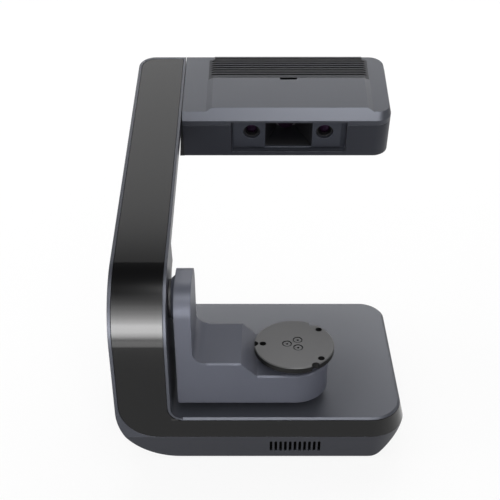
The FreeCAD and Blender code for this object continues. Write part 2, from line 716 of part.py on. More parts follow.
behind_trim = join(
    "behind_trim",
    cover_block("behind_base", "trim_thickness", "trim_bottom - 1", "base_top + 1"),
    bar("behind_bar", "trim_thickness", "-10", "-10", ("-body_left - 1", "arm_right + 1"),
        "trim_bottom - 1"),
    coving_form("behind_coving", "trim_thickness"))
trim_layer = cut("trim_layer", body_outer, behind_trim)


def trim_form(name, gap, result):
    """The trim's layer inside its outline: column, arm and the strip around the base."""
    left = "(trim_left - (%s))" % gap
    right = "(trim_right + (%s))" % gap
    top = "(trim_top + (%s))" % gap
    last = "(arm_length - trim_rim + (%s))" % gap
    lower = "%s - trim_end_round" % last
    region = prism(name + "_region", "XZ", [
        ("%s + trim_round" % left, "trim_bottom"), ("base_right + 5", "trim_bottom"),
        ("base_right + 5", top), ("%s + trim_inner_round" % right, top, "-trim_inner_round"),
        (right, "%s + trim_inner_round" % top), (right, "knee_z + arm_length"),
        (left, "knee_z + arm_length"), (left, "trim_bottom + trim_round", "trim_round"),
    ], "-1", "arm_length + 60")
    end = tilted(prism(name + "_end", "XY", [
        ("-body_left - 1", "arm_length + 1"), ("-body_left - 1", lower),
        (left, lower, "-trim_end_round"), ("%s + trim_end_round" % left, last),
        ("arm_right + 1", last), ("arm_right + 1", "arm_length + 1"),
    ], "-20", "20"))
    side = box(name + "_side", ("-body_left - 1", "base_right + 5"),
               ("base_depth - corner_round + (%s)" % gap, "base_depth + 1"),
               ("trim_bottom - 1", "base_top + 1"))
    return cut(result, overlap(name, region, trim_layer), end, side)


keep(trim_form("trim_piece", "0", "gloss_trim"))
groove = trim_form("groove_form", "trim_gap", "groove")

# ---------------------------------------------------------------- main shell

BOSSES = [("-boss_left", "foot_margin"), ("boss_right", "foot_margin"),
          ("-boss_left", "base_depth - foot_margin"), ("boss_right", "base_depth - foot_margin")]
cover_cavity = cover_block("cover_cavity", "column_in_front", "trim_bottom - 1",
                           "base_top - shell_wall")
inner_bar = end_corner(
    bar("inner_bar", "column_in_front", "-1", "shell_wall",
        ("column_in_left", "column_in_right"), "trim_bottom - 1"),
    "column_in_left", "shell_wall", "arm_end_round - shell_wall")
arm_cavity = overlap("arm_cavity", inner_bar,
                     front_form("arm_cavity_front", "shell_wall", "-1", "arm_length + 60"))
shaft_hole = rod("shaft_hole", "X", ("column_in_right - 1", "arm_right + 1"), "pivot_y",
                 "pivot_z", "shaft_radius + 1")
beam_hole = tilted(deep("beam_hole", ("column_in_right - 2", "arm_right + 2"),
                        ("beam_front - 1.5", "beam_front + beam_depth + 1.5"),
                        ("neck_drop - 1.5", "neck_drop + neck_height + 1.5")))
lean_wedge = tilted(prism("lean_wedge", "XZ", [
    ("arm_right", "0"), ("arm_right - arm_draft * (arm_thickness + 2) / arm_thickness",
                         "-arm_thickness - 2"),
    ("arm_right + 3", "-arm_thickness - 2"), ("arm_right + 3", "0")],
    "draft_start", "arm_length + 1"))
hollow = cut("shell_hollow", body_outer, cover_cavity, arm_cavity, groove)
bosses = [rod("boss_%d" % number, "Z", x, y, ("floor_top", "base_top - shell_wall + 0.5"),
              "boss_radius") for number, (x, y) in enumerate(BOSSES)]
pilots = [rod("pilot_%d" % number, "Z", x, y, ("floor_top - 1", "floor_top + 14"),
              "screw_radius") for number, (x, y) in enumerate(BOSSES)]
keep(cut("main_shell", join("shell_bossed", hollow, *bosses), shaft_hole, beam_hole,
         lean_wedge, *pilots))

cover_sheet = end_corner(
    bar("cover_sheet", "column_in_front", "0", "shell_wall + part_gap",
        ("column_in_left + part_gap", "column_in_right - part_gap"), "base_top - 3"),
    "column_in_left + part_gap", "shell_wall + part_gap",
    "arm_end_round - shell_wall")
cover_core = bar("cover_core", "-5", "shell_wall", "-5", ("-body_left", "arm_right"),
                 "base_top - 6")
keep(cut("arm_back_cover", cover_sheet, cover_core))

# ---------------------------------------------------------------- base tub and what is in it

tub = cut("tub_hollow", tub_block("tub_outer", "0", "base_bottom", "trim_bottom"),
          tub_block("tub_cavity", "shell_wall", "floor_top", "trim_bottom + 1"))
slots = []
for number in range(int(size("slot_count"))):
    middle = "(slot_place + %s * slot_pitch)" % (number - (size("slot_count") - 1) / 2)
    low = "trim_bottom - slot_drop - slot_height + slot_width / 2"
    high = "trim_bottom - slot_drop - slot_width / 2"
    slots.append(prism("slot_%d" % number, "XZ", [
        ("%s - slot_width / 2" % middle, low, "slot_width / 2", "half"),
        ("%s + slot_width / 2" % middle, low),
        ("%s + slot_width / 2" % middle, high, "slot_width / 2", "half"),
        ("%s - slot_width / 2" % middle, high)], "-1", "front_lean + shell_wall + 3"))
socket_hole = box("socket_hole", ("2 - socket_left", "-socket_right - 2"),
                  ("base_depth - shell_wall - 1", "base_depth + 1"),
                  ("socket_low + 2", "socket_high - 3"))
screw_ways = [rod("tub_screw_way_%d" % number, "Z", x, y, ("base_bottom - 1", "floor_top + 1"),
                  "screw_radius + 0.2") for number, (x, y) in enumerate(BOSSES)]
keep(cut("base_tub", tub, socket_hole, *(slots + screw_ways)))

plate_ways = [rod("ballast_way_%d" % number, "Z", x, y, ("floor_top - 1", "ballast_top + 1"),
                  "boss_radius + 1") for number, (x, y) in enumerate(BOSSES)]
keep(cut("ballast_plate", prism("ballast_blank", "XY", [
    ("-72", "12"), ("100", "12"), ("100", "base_depth - 14"), ("-32", "base_depth - 14"),
    ("-32", "column_depth"), ("-72", "column_depth")], "floor_top", "ballast_top"),
    *plate_ways))

FEET = [("-foot_left", "foot_margin"), ("foot_right", "foot_margin"),
        ("-foot_left", "base_depth - foot_margin"), ("foot_right", "base_depth - foot_margin")]
for number, (x, y) in enumerate(FEET, start=1):
    foot = turned("foot_%d_form" % number, [
        ("0", "0"), ("foot_radius - 1", "0"), ("foot_radius", "1"),
        ("foot_radius", "foot_height"), ("0", "foot_height")])
    bind(foot, Placement__Base__x=x, Placement__Base__y=y)
    keep(group("foot_%d" % number, [foot]))
keep(group("base_screws", [screw("base_screw_%d" % number, x, y, "base_bottom", -1, "14")
                           for number, (x, y) in enumerate(BOSSES)]))

board = box("main_board_plate", ("-93", "-36"), ("board_front", "board_back"),
            ("board_z", "board_top"))
chips = [box("main_chip_%d" % number, x, y, ("board_top", "board_top + %s" % rise))
         for number, (x, y, rise) in enumerate([
             (("-86", "-68"), ("board_front + 12", "board_front + 30"), "1.4"),
             (("-60", "-48"), ("board_front + 8", "board_front + 20"), "1.2"),
             (("-62", "-42"), ("board_front + 30", "board_front + 36"), "6"),
             (("-90", "-78"), ("board_front + 36", "board_front + 44"), "9")])]
posts = [rod("board_post_%d" % number, "Z", x, y, ("floor_top", "board_z"), "3")
         for number, (x, y) in enumerate([("-58", "board_front + 6"), ("-58", "board_back - 15")])]
keep(join("main_board", board, *(chips + posts)))

panel = box("socket_panel_blank", ("-socket_left", "-socket_right"),
            ("socket_y", "socket_y + socket_plate"), ("socket_low", "socket_high"))
inlet_way = rod("inlet_way", "Y", "-inlet_place", ("socket_y - 1", "base_depth"), "socket_z",
                "5.5")
usb_way = box("usb_way", ("-usb_place - 6.3", "-usb_place + 6.3"),
              ("socket_y - 1", "base_depth"), ("socket_z - 5.8", "socket_z + 5.8"))
button_way = rod("button_way", "Y", "-button_place", ("socket_y - 1", "base_depth"),
                 "socket_z", "button_radius + running_gap")
keep(cut("socket_panel", panel, inlet_way, usb_way, button_way))
inlet = join("inlet_blank",
             rod("inlet_sleeve", "Y", "-inlet_place", ("socket_y - 12", "socket_y + 2"),
                 "socket_z", "5.2"),
             box("inlet_block", ("-inlet_place - 5", "-inlet_place + 5"),
                 ("socket_y - 13", "socket_y - 0.2"),
                 ("board_top", "socket_z + 5")))
keep(join("power_inlet",
          cut("inlet_body", inlet, rod("inlet_bore", "Y", "-inlet_place",
                                       ("socket_y - 8", "base_depth"), "socket_z",
                                       "inlet_radius")),
          rod("inlet_pin_rod", "Y", "-inlet_place", ("socket_y - 9", "socket_y + 1"),
              "socket_z", "inlet_pin")))
usb = cut("usb_shell",
          box("usb_block", ("-usb_place - 6", "-usb_place + 6"),
              ("socket_y - 14", "socket_y + 2"),
              ("board_top", "socket_z + 5.5")),
          box("usb_mouth", ("-usb_place - 5.2", "-usb_place + 5.2"),
              ("socket_y - 8", "socket_y + 3"), ("socket_z - 4.7", "socket_z + 4.7")))
keep(join("usb_socket", usb, box("usb_tongue", ("-usb_place - 3.2", "-usb_place + 3.2"),
                                 ("socket_y - 9", "socket_y + 1"),
                                 ("socket_z", "socket_z + 2.4"))))
keep(join("power_button",
          rod("button_cap", "Y", "-button_place",
              ("socket_y - 1", "socket_y + socket_plate + 4"), "socket_z", "button_radius"),
          rod("button_collar", "Y", "-button_place", ("socket_y - 3", "socket_y - 0.4"),
              "socket_z", "button_radius + 1.2")))

# ---------------------------------------------------------------- cast frame of the arm

plate = bar("frame_sheet", "column_in_front + frame_gap", "shell_wall + frame_gap",
            "shell_wall + frame_gap", ("frame_left", "frame_right"), "base_top - 31")
housing = rod("frame_housing", "X", ("frame_left", "frame_left + housing_length"), "pivot_y",
              "pivot_z", "housing_radius")
feet_y = [("column_in_front + frame_gap", "swing_motor_depth - motor_size / 2 - 3"),
          ("swing_motor_depth + motor_size / 2 + 3", "column_depth - shell_wall - frame_gap")]
frame_feet = []
for number, span in enumerate(feet_y):
    frame_feet += [box("frame_foot_%d" % number, ("frame_left", "-frame_foot"), span,
                       ("base_top - 31", "base_top - 25")),
                   box("frame_pad_%d" % number, ("-70", "-frame_foot"), span,
                       ("ballast_top", "base_top - 25"))]
beam_lug = tilted(deep("beam_lug", ("frame_right", "frame_right + 10"),
                       ("beam_front - 14", "beam_front - 0.05"),
                       ("neck_drop", "neck_drop + neck_height")))
housing_bore = rod("housing_bore", "X", ("frame_left - 1", "frame_left + housing_length + 1"),
                   "pivot_y", "pivot_z", "swing_bearing")
motor_way = rod("motor_way", "X", ("frame_left - 1", "frame_right + 1"), "swing_motor_depth",
                "swing_motor_z", "motor_shaft + 3")
windows = [tilted(deep("frame_window_%d" % number, ("frame_left - 1", "frame_right + 1"),
                       (start, "%s + frame_window" % start), ("17", "23")))
           for number, start in enumerate("frame_window_start + %d * frame_window_pitch" % place
                                          for place in range(4))]
foot_screw_places = [("-60", "18"), ("-60", "84")]
foot_pilots = [rod("foot_pilot_%d" % number, "Z", x, y, ("ballast_top - 1", "base_top - 24"),
                   "screw_radius") for number, (x, y) in enumerate(foot_screw_places)]
keep(cut("arm_frame", join("frame_blank", plate, housing, beam_lug, *frame_feet),
         housing_bore, motor_way, *(windows + foot_pilots)))
keep(group("frame_screws", [screw("frame_screw_%d" % number, x, y, "base_top - 25", 1,
                                  "base_top - 25 - ballast_top")
                            for number, (x, y) in enumerate(foot_screw_places)]))

# ---------------------------------------------------------------- drives

def pulley(name, axis, x, y, z, radius, bore):
    """A flanged belt pulley; the coordinate along its axis is the belt's middle."""
    places = {"X": x, "Y": y, "Z": z}
    middle = places[axis]

    def piece(suffix, low, high, size_text):
        spots = dict(places)
        spots[axis] = ("%s - (%s)" % (middle, low), "%s + (%s)" % (middle, high))
        return rod(name + suffix, axis, spots["X"], spots["Y"], spots["Z"], size_text)

    tread = piece("_tread", "belt_pocket / 2", "belt_pocket / 2", "(%s) - belt_gap" % radius)
    flanges = []
    for side, low, high in (("low", "pulley_width / 2", "-belt_pocket / 2"),
                            ("high", "-belt_pocket / 2", "pulley_width / 2")):
        flanges.append(piece("_flange_" + side, low, high, "(%s) + 1.6" % radius))
    hole = piece("_bore", "pulley_width", "pulley_width", bore)
    return cut(name, join(name + "_blank", tread, *flanges), hole)


def belt(name, plane, centres, radii, low, high):
    """A belt around two pulleys: straight runs tangent to both."""
    (x0, y0), (x1, y1) = centres
    forms = []
    for suffix, grow in (("_outer", "belt_thickness"), ("_inner", "0")):
        big, small = ["(%s) + (%s)" % (radius, grow) for radius in radii]
        distance = "sqrt(((%s) - (%s)) ^ 2 + ((%s) - (%s)) ^ 2)" % (x1, x0, y1, y0)
        ux = "(((%s) - (%s)) / %s)" % (x1, x0, distance)
        uy = "(((%s) - (%s)) / %s)" % (y1, y0, distance)
        side = "(((%s) - (%s)) / %s)" % (radii[0], radii[1], distance)
        rest = "sqrt(1 - %s ^ 2)" % side
        points = []
        for centre, radius, sign in ((("%s" % x0, "%s" % y0), big, 1),
                                     (("%s" % x0, "%s" % y0), big, -1),
                                     (("%s" % x1, "%s" % y1), small, -1),
                                     (("%s" % x1, "%s" % y1), small, 1)):
            points.append(("(%s) + (%s) * (%s * %s - %d * %s * %s)" % (
                centre[0], radius, ux, side, sign, uy, rest),
                "(%s) + (%s) * (%s * %s + %d * %s * %s)" % (
                centre[1], radius, uy, side, sign, ux, rest)))
        points[0] += (big, "long")
        points[2] += (small,)
        forms.append(prism(name + suffix, plane, points, low, high))
    return cut(name, *forms)


keep(belt("swing_belt", "YZ", (("pivot_y", "pivot_z"), ("swing_motor_depth", "swing_motor_z")),
          ("swing_pulley_r", "swing_motor_r"), "swing_belt_x - belt_width / 2",
          "swing_belt_x + belt_width / 2"))
keep(pulley("swing_pulley", "X", "swing_belt_x", "pivot_y", "pivot_z", "swing_pulley_r",
            "shaft_radius"))
keep(pulley("swing_motor_pulley", "X", "swing_belt_x", "swing_motor_depth", "swing_motor_z",
            "swing_motor_r", "motor_shaft"))
swing_motor_body = box("swing_motor_body", ("frame_right", "frame_right + swing_motor_length"),
                       ("swing_motor_depth - motor_size / 2",
                        "swing_motor_depth + motor_size / 2"),
                       ("swing_motor_z - motor_size / 2", "swing_motor_z + motor_size / 2"))
swing_motor_boss = rod("swing_motor_boss", "X", ("frame_left + 1", "frame_right + 1"),
                       "swing_motor_depth", "swing_motor_z", "motor_shaft + 2.7")
swing_motor_bore = rod("swing_motor_bore", "X", ("frame_left - 1", "frame_right + 18"),
                       "swing_motor_depth", "swing_motor_z", "motor_shaft + running_gap")
keep(cut("swing_motor", join("swing_motor_blank", swing_motor_body, swing_motor_boss),
         swing_motor_bore))
keep(group("swing_motor_shaft", [
    rod("swing_motor_rod", "X", ("swing_belt_x - pulley_width / 2", "frame_right + 16"),
        "swing_motor_depth", "swing_motor_z", "motor_shaft")]))


def bearing(name, axis, x, y, z, outer, bore):
    """A ball bearing drawn as one ring that its shaft turns in."""
    return cut(name, rod(name + "_ring", axis, x, y, z, outer),
               rod(name + "_hole", axis, *[("%s - 1" % p[0], "%s + 1" % p[1])
                                           if isinstance(p, tuple) else p for p in (x, y, z)],
                   radius="%s + running_gap" % bore))


keep(group("swing_bearings", [
    bearing("swing_bearing_left", "X", ("frame_left", "frame_left + swing_bearing_width"),
            "pivot_y", "pivot_z", "swing_bearing", "shaft_radius"),
    bearing("swing_bearing_right", "X",
            ("frame_left + housing_length - swing_bearing_width", "frame_left + housing_length"),
            "pivot_y", "pivot_z", "swing_bearing", "shaft_radius")]))

# ---------------------------------------------------------------- swing arm and cradle

def cradle_form(name, inset, low):
    """The cradle's three outlines, inset by a wall."""
    left = "(%s) - cradle_left" % inset
    right = "disc_place + cradle_width / 2 - (%s)" % inset
    wall = "swing_right - (%s)" % inset
    bend = "cradle_round + (%s)" % inset
    ring = "cradle_width / 2 - (%s)" % inset
    shift = "(%s) * tan(22.5)" % inset
    if inset == "0":
        foot = [("%s + cradle_corner" % left, low)]
        corner = [(left, "%s + cradle_corner" % low, "cradle_corner")]
    else:
        ledge_left = "cradle_corner + part_gap - cradle_left"
        foot = [(ledge_left, low)]
        corner = [(left, "cradle_z + cradle_ledge"), (ledge_left, "cradle_z + cradle_ledge")]
    across = prism(name + "_front", "XZ", foot + [
        (right, low), (right, "low_z - (%s)" % inset),
        ("deck_foot - %s" % shift, "low_z - (%s)" % inset),
        ("-deck_edge - %s" % shift, "high_z - (%s)" % inset),
        ("swing_right + cradle_round", "high_z - (%s)" % inset, "-(%s)" % bend),
        (wall, "high_z + cradle_round"), (wall, "pivot_z + cradle_width"),
        (left, "pivot_z + cradle_width")] + corner, "cradle_front - 1", "cradle_back + 1")
    top = "swing_top_z - (%s)" % inset
    turn = "swing_round - (%s)" % inset
    side = prism(name + "_side", "YZ", [
        ("cradle_front + (%s)" % inset, low), ("cradle_back - (%s)" % inset, low),
        ("cradle_back - (%s)" % inset, "swing_top_z - swing_round", turn),
        ("cradle_back - swing_round", top), ("cradle_front + swing_round", top, turn),
        ("cradle_front + (%s)" % inset, "swing_top_z - swing_round")], "-cradle_left - 1",
        "disc_place + cradle_width")
    plan = prism(name + "_plan", "XY", [
        (left, "cradle_front + (%s)" % inset),
        ("disc_place", "cradle_front + (%s)" % inset, ring, "half"),
        ("disc_place", "cradle_back - (%s)" % inset),
        (left, "cradle_back - (%s)" % inset)], low, "pivot_z + cradle_width")
    return across, side, plan


across, side, plan = cradle_form("cradle_outer", "0", "cradle_z")
soften(plan, "Chamfer", "cradle_rim", lambda edge: near(edge, z=size("cradle_z")))
cradle = overlap("cradle_block", across, side, plan)
edges = []
for name, height, x in (("low", "low_z", ("deck_foot", "disc_place + cradle_width")),
                        ("high", "high_z", ("swing_right + cradle_round", "-deck_edge"))):
    for way, y, turn in (("front", "cradle_front", 1), ("back", "cradle_back", -1)):
        edges.append(prism("rim_%s_%s" % (name, way), "YZ", [
            ("%s - %d" % (y, turn), "%s + 1" % height),
            ("%s - %d" % (y, turn), "%s - cradle_rim - 1" % height),
            ("%s + %d * (cradle_rim + 1)" % (y, turn), "%s + 1" % height)]
            if turn > 0 else [
            ("%s + %d * (cradle_rim + 1)" % (y, turn), "%s + 1" % height),
            ("%s - %d" % (y, turn), "%s - cradle_rim - 1" % height),
            ("%s - %d" % (y, turn), "%s + 1" % height)],
            x[0], "disc_place" if name == "low" else x[1]))
ring_tool = cut("rim_ring",
                rod("rim_ring_blank", "Z", "disc_place", "pivot_y",
                    ("low_z - cradle_rim", "low_z + 2"), "cradle_width / 2 + 2"),
                taper("rim_ring_cone", "Z", "disc_place", "pivot_y",
                      ("low_z - cradle_rim", "low_z + 3"), "cradle_width / 2",
                      "cradle_width / 2 - cradle_rim - 3"),
                box("rim_ring_left", ("disc_place - cradle_width", "disc_place"),
                    ("cradle_front - 3", "cradle_back + 3"), ("low_z - 5", "low_z + 5")))
cone = taper("cradle_cone", "X", ("-cradle_left - hub_cone", "-cradle_left"), "pivot_y",
             "pivot_z", "hub_radius", "swing_top - 1")
across, side, plan = cradle_form("cradle_inner", "shell_wall", "cradle_z - 1")
cavity = overlap("cradle_cavity", across, side, plan)
spindle_way = rod("spindle_way", "Z", "disc_place", "pivot_y", ("low_z - 9", "low_z + 1"),
                  "spindle_radius + 2")
swing_way = rod("swing_way", "X", ("-cradle_left - hub_cone - 1", "swing_right - 5"), "pivot_y",
                "pivot_z", "shaft_radius + part_gap")
keep(cut("swing_shell", join("cradle_solid", cradle, cone), cavity, ring_tool, spindle_way,
         swing_way, *edges))

lid_inset = "shell_wall + part_gap"
lid_left = "cradle_corner + 2 * part_gap - cradle_left"
lid = prism("swing_lid", "XY", [
    (lid_left, "cradle_front + %s" % lid_inset),
    ("disc_place", "cradle_front + %s" % lid_inset, "cradle_width / 2 - (%s)" % lid_inset,
     "half"),
    ("disc_place", "cradle_back - (%s)" % lid_inset),
    (lid_left, "cradle_back - (%s)" % lid_inset)],
    "cradle_z", "cradle_z + shell_wall")
LID_SCREWS = [("-60", "pivot_y - 24"), ("-60", "pivot_y + 24"),
              ("disc_place - 16", "pivot_y - 24"), ("disc_place - 16", "pivot_y + 24")]
lid_ways = [rod("lid_way_%d" % number, "Z", x, y, ("cradle_z - 1", "cradle_z + shell_wall + 1"),
                "screw_radius + 0.2") for number, (x, y) in enumerate(LID_SCREWS)]
keep(cut("swing_bottom_cover", lid, *lid_ways))
keep(group("cover_screws", [screw("cover_screw_%d" % number, x, y, "cradle_z", -1,
                                  "bracket_rise") for number, (x, y) in enumerate(LID_SCREWS)]))

flange_right = "(shell_wall + 0.3 - cradle_left + 4)"
upright = prism("bracket_upright", "YZ", [
    ("pivot_y - bracket_half", "bracket_z"), ("pivot_y + bracket_half", "bracket_z"),
    ("pivot_y + bracket_half", "pivot_z", "bracket_half", "half"),
    ("pivot_y - bracket_half", "pivot_z")],
    flange_right, "%s + bracket_plate" % flange_right)
shelf = prism("bracket_shelf", "XY", [
    (flange_right, "cradle_front + 5"),
    ("disc_place", "cradle_front + 5", "cradle_width / 2 - 5", "half"),
    ("disc_place", "cradle_back - 5"), (flange_right, "cradle_back - 5")],
    "bracket_z", "bracket_z + bracket_plate")
spin_hole = rod("bracket_spin_hole", "Z", "disc_place", "pivot_y",
                ("bracket_z - 1", "bracket_z + bracket_plate + 1"), "spindle_radius + 2")
spin_motor_hole = rod("bracket_motor_hole", "Z", "-spin_motor_place", "pivot_y",
                      ("bracket_z - 1", "bracket_z + bracket_plate + 1"), "motor_shaft + 3")
lid_pilots = [rod("lid_pilot_%d" % number, "Z", x, y,
                  ("bracket_z - 1", "bracket_z + bracket_plate + 1"), "screw_radius")
              for number, (x, y) in enumerate(LID_SCREWS)]
keep(cut("swing_bracket", join("bracket_blank", upright, shelf), spin_hole, spin_motor_hole,
         *lid_pilots))
keep(join("swing_shaft",
          rod("swing_shaft_rod", "X", ("swing_belt_x - pulley_width / 2 - 2",
                                       "%s - 1" % flange_right), "pivot_y", "pivot_z",
              "shaft_radius"),
          rod("swing_shaft_flange", "X", ("%s - 4" % flange_right, flange_right), "pivot_y",
              "pivot_z", "shaft_flange")))
keep(cut("swing_collar",
         rod("swing_collar_disc", "X", ("arm_right + hub_gap", "-cradle_left - hub_cone"),
             "pivot_y", "pivot_z", "collar_radius"),
         rod("swing_collar_bore", "X", ("arm_right - 1", "-cradle_left"), "pivot_y",
             "pivot_z", "shaft_radius")))

# ---------------------------------------------------------------- turntable

housing_low = "bracket_z + bracket_plate"
housing_high = "low_z - shell_wall - part_gap"
keep(cut("spindle_housing",
         join("spindle_housing_blank",
              rod("spindle_tube", "Z", "disc_place", "pivot_y", (housing_low, housing_high),
                  "spindle_bearing + 3"),
              rod("spindle_foot", "Z", "disc_place", "pivot_y",
                  (housing_low, "%s + 2.5" % housing_low), "spindle_bearing + 8")),
         rod("spindle_bore", "Z", "disc_place", "pivot_y",
             ("%s - 1" % housing_low, "%s + 1" % housing_high), "spindle_bearing")))
keep(group("spindle_bearings", [
    bearing("spindle_bearing_low", "Z", "disc_place", "pivot_y",
            (housing_low, "%s + spindle_bearing_width" % housing_low), "spindle_bearing",
            "spindle_radius"),
    bearing("spindle_bearing_high", "Z", "disc_place", "pivot_y",
            ("%s - spindle_bearing_width" % housing_high, housing_high), "spindle_bearing",
            "spindle_radius")]))
keep(join("spindle",
          rod("spindle_rod", "Z", "disc_place", "pivot_y",
              ("spin_belt_z - pulley_width / 2", "disc_under"), "spindle_radius"),
          rod("spindle_head", "Z", "disc_place", "pivot_y", ("low_z + 0.8", "disc_under"),
              "spindle_flange")))
keep(pulley("spindle_pulley", "Z", "disc_place", "pivot_y", "spin_belt_z",
            "spindle_pulley_r", "spindle_radius"))
keep(pulley("turntable_motor_pulley", "Z", "-spin_motor_place", "pivot_y", "spin_belt_z",
            "spin_motor_r", "motor_shaft"))
keep(belt("turntable_belt", "XY", (("disc_place", "pivot_y"), ("-spin_motor_place", "pivot_y")),
          ("spindle_pulley_r", "spin_motor_r"), "spin_belt_z - belt_width / 2",
          "spin_belt_z + belt_width / 2"))
spin_low = "bracket_z + bracket_plate"
spin_body = box("spin_motor_body", ("-spin_motor_place - motor_size / 2",
                                    "-spin_motor_place + motor_size / 2"),
                ("pivot_y - motor_size / 2", "pivot_y + motor_size / 2"),
                (spin_low, "%s + spin_motor_length" % spin_low))
spin_boss = rod("spin_motor_boss", "Z", "-spin_motor_place", "pivot_y",
                ("bracket_z + 1", "%s + 1" % spin_low), "motor_shaft + 2.7")
spin_bore = rod("spin_motor_bore", "Z", "-spin_motor_place", "pivot_y",
                ("bracket_z - 1", "%s + 18" % spin_low), "motor_shaft + running_gap")
keep(cut("turntable_motor", join("spin_motor_blank", spin_body, spin_boss), spin_bore))
keep(group("turntable_motor_shaft", [
    rod("spin_motor_rod", "Z", "-spin_motor_place", "pivot_y",
        ("spin_belt_z - pulley_width / 2", "%s + 16" % spin_low), "motor_shaft")]))

disc = turned("disc_blank", [
    ("0", "disc_under"), ("disc_radius - disc_bevel", "disc_under"),
    ("disc_radius", "disc_under + disc_bevel"), ("disc_radius", "disc_z - disc_bevel"),
    ("disc_radius - disc_bevel", "disc_z"), ("0", "disc_z")])
bind(disc, Placement__Base__x="disc_place", Placement__Base__y="pivot_y")
cuts = []
for number, angle in enumerate((180, 60, -60)):
    x = "disc_place + disc_radius * cos(%d)" % angle
    y = "pivot_y + disc_radius * sin(%d)" % angle
    cuts.append(rod("disc_notch_%d" % number, "Z", x, y, ("disc_under - 1", "disc_z + 1"),
                    "disc_notch"))
for number, (reach, angle) in enumerate((("disc_hole_left", "180"),
                                         ("disc_hole_right", "disc_hole_angle"),
                                         ("disc_hole_right", "-disc_hole_angle"))):
    cuts.append(rod("disc_hole_%d" % number, "Z", "disc_place + %s * cos(%s)" % (reach, angle),
                    "pivot_y + %s * sin(%s)" % (reach, angle),
                    ("disc_under - 1", "disc_z + 1"), "disc_hole"))
disc_screws = []
for number, angle in enumerate((180, 60, -60)):
    x = "disc_place + disc_screw_circle * cos(%d)" % angle
    y = "pivot_y + disc_screw_circle * sin(%d)" % angle
    cuts.append(rod("disc_seat_%d" % number, "Z", x, y, ("disc_z - 2.2", "disc_z + 1"),
                    "disc_screw_head + 0.25"))
    cuts.append(rod("disc_way_%d" % number, "Z", x, y, ("disc_under - 1", "disc_z"),
                    "screw_radius"))
    blank = join("disc_screw_blank_%d" % number,
                 rod("disc_screw_cap_%d" % number, "Z", x, y, ("disc_z - 2.2", "disc_z - 0.2"),
                     "disc_screw_head"),
                 rod("disc_screw_rod_%d" % number, "Z", x, y, ("disc_under", "disc_z - 2"),
                     "screw_radius"))
    disc_screws.append(cut("disc_screw_%d" % number, blank,
                           rod("disc_screw_key_%d" % number, "Z", x, y,
                               ("disc_z - 1.6", "disc_z + 1"), "socket_key")))
keep(cut("turntable_disc", disc, *cuts))
keep(group("disc_screws", disc_screws))

# ---------------------------------------------------------------- head, in the arm frame

def head_points(inset, front, lean, bend):
    """The head seen square to its top face."""
    left = "head_left + (%s)" % inset
    right = "head_right - (%s) - (%s)" % (lean, inset)
    back = "arm_length - (%s)" % inset
    turn = "(%s) - (%s)" % (bend, inset)
    rear = "head_round - (%s)" % inset
    return [
        (left, front), ("%s - (%s)" % (right, turn), front, turn),
        (right, "%s + (%s)" % (front, turn)), (right, "%s - (%s)" % (back, rear), rear),
        ("%s - (%s)" % (right, rear), back), (left, back)]


def head_upper(name, inset, low):
    """The head from its top face down, bevelled at the front and leaning in at the right."""
    bevel = "(head_bevel + (%s) * tan(22.5))" % inset
    wide = head_points(inset, "head_front + (%s)" % inset, "0", "head_round")
    crown = lofted(name + "_crown", wide, "-%s" % bevel,
                   head_points(inset, "head_front + %s" % bevel, "head_lean", "head_top_round"),
                   "-(%s)" % inset)
    return join(name, crown, prism(name + "_wall", "XY", wide, "-(%s)" % low, "-%s" % bevel))


def head_lower(name, inset, high):
    """The head under its seam, with bevelled lower edges."""
    bottom = "(%s) - head_height" % inset
    left = size("head_left + (%s)" % inset)
    block = prism(name, "XY", head_points(inset, "head_front + (%s)" % inset, "0", "head_round"),
                  bottom, "-(%s)" % high)
    return soften(block, "Chamfer", "head_edge - (%s) * tan(22.5)" % inset,
                  lambda edge: near(edge, z=size(bottom)) and not near(edge, x=left))


HEAD_BOSSES = [("-72", "head_front + 12"), ("head_right - 12", "head_front + 22"),
               ("-72", "arm_length - 8"), ("head_right - 15", "arm_length - 12")]
lid_shell = cut("lid_shell", head_upper("lid_block", "0", "head_seam - seam_gap / 2"),
                head_upper("lid_cavity", "shell_wall", "head_seam + 1"))


def raised(name, along, top, foot="0"):
    """The raised middle of the head's top between two places along the arm."""
    return prism(name, "XZ", [
        ("-panel_left", foot), ("panel_right", foot), ("panel_right", "0"), (
            "panel_right - panel_slope * (%s) / panel_rise" % top, top),
        ("panel_slope * (%s) / panel_rise - panel_left" % top, top), ("-panel_left", "0")],
        along[0], along[1])


panel_top = raised("panel_block", ("panel_front - 1.5", "vent_front - vent_gap"), "panel_rise",
                   "-1")
nose_cut = prism("panel_nose", "YZ", [
    ("panel_front - 2", "-2"), ("panel_front + panel_rise + 1", "panel_rise + 1"),
    ("panel_front - 2", "panel_rise + 1")], "-panel_left - 1", "panel_right + 1")
cheeks = [deep("cheek_%d" % number, x, ("vent_axis - 5", "arm_length"), ("0.5", "7"))
          for number, x in enumerate((("vent_left - 6", "vent_left"),
                                      ("vent_right", "vent_right + 6")))]
ledge = deep("vent_ledge", ("vent_left + 1", "vent_right - 1"), ("vent_front - 4",
                                                               "vent_front + 2.5"),
             ("vent_plate - panel_rise + 0.1", "shell_wall"))
vent_hole = deep("vent_hole", ("vent_left", "vent_right"), ("vent_front + 2.5", "arm_length + 1"),
                 ("-panel_rise - 1", "vent_axis_w + vent_barrel + vent_gap"))
vent_step = deep("vent_step", ("vent_left", "vent_right"), ("vent_front - vent_gap",
                                                          "vent_front + 3"),
                 ("-panel_rise - 1", "vent_plate - panel_rise + 0.1"))
finger = deep("finger_notch", ("notch_left", "notch_right"),
              ("vent_front - notch_length", "vent_front + 1"), ("-panel_rise - 1", "-0.4"))
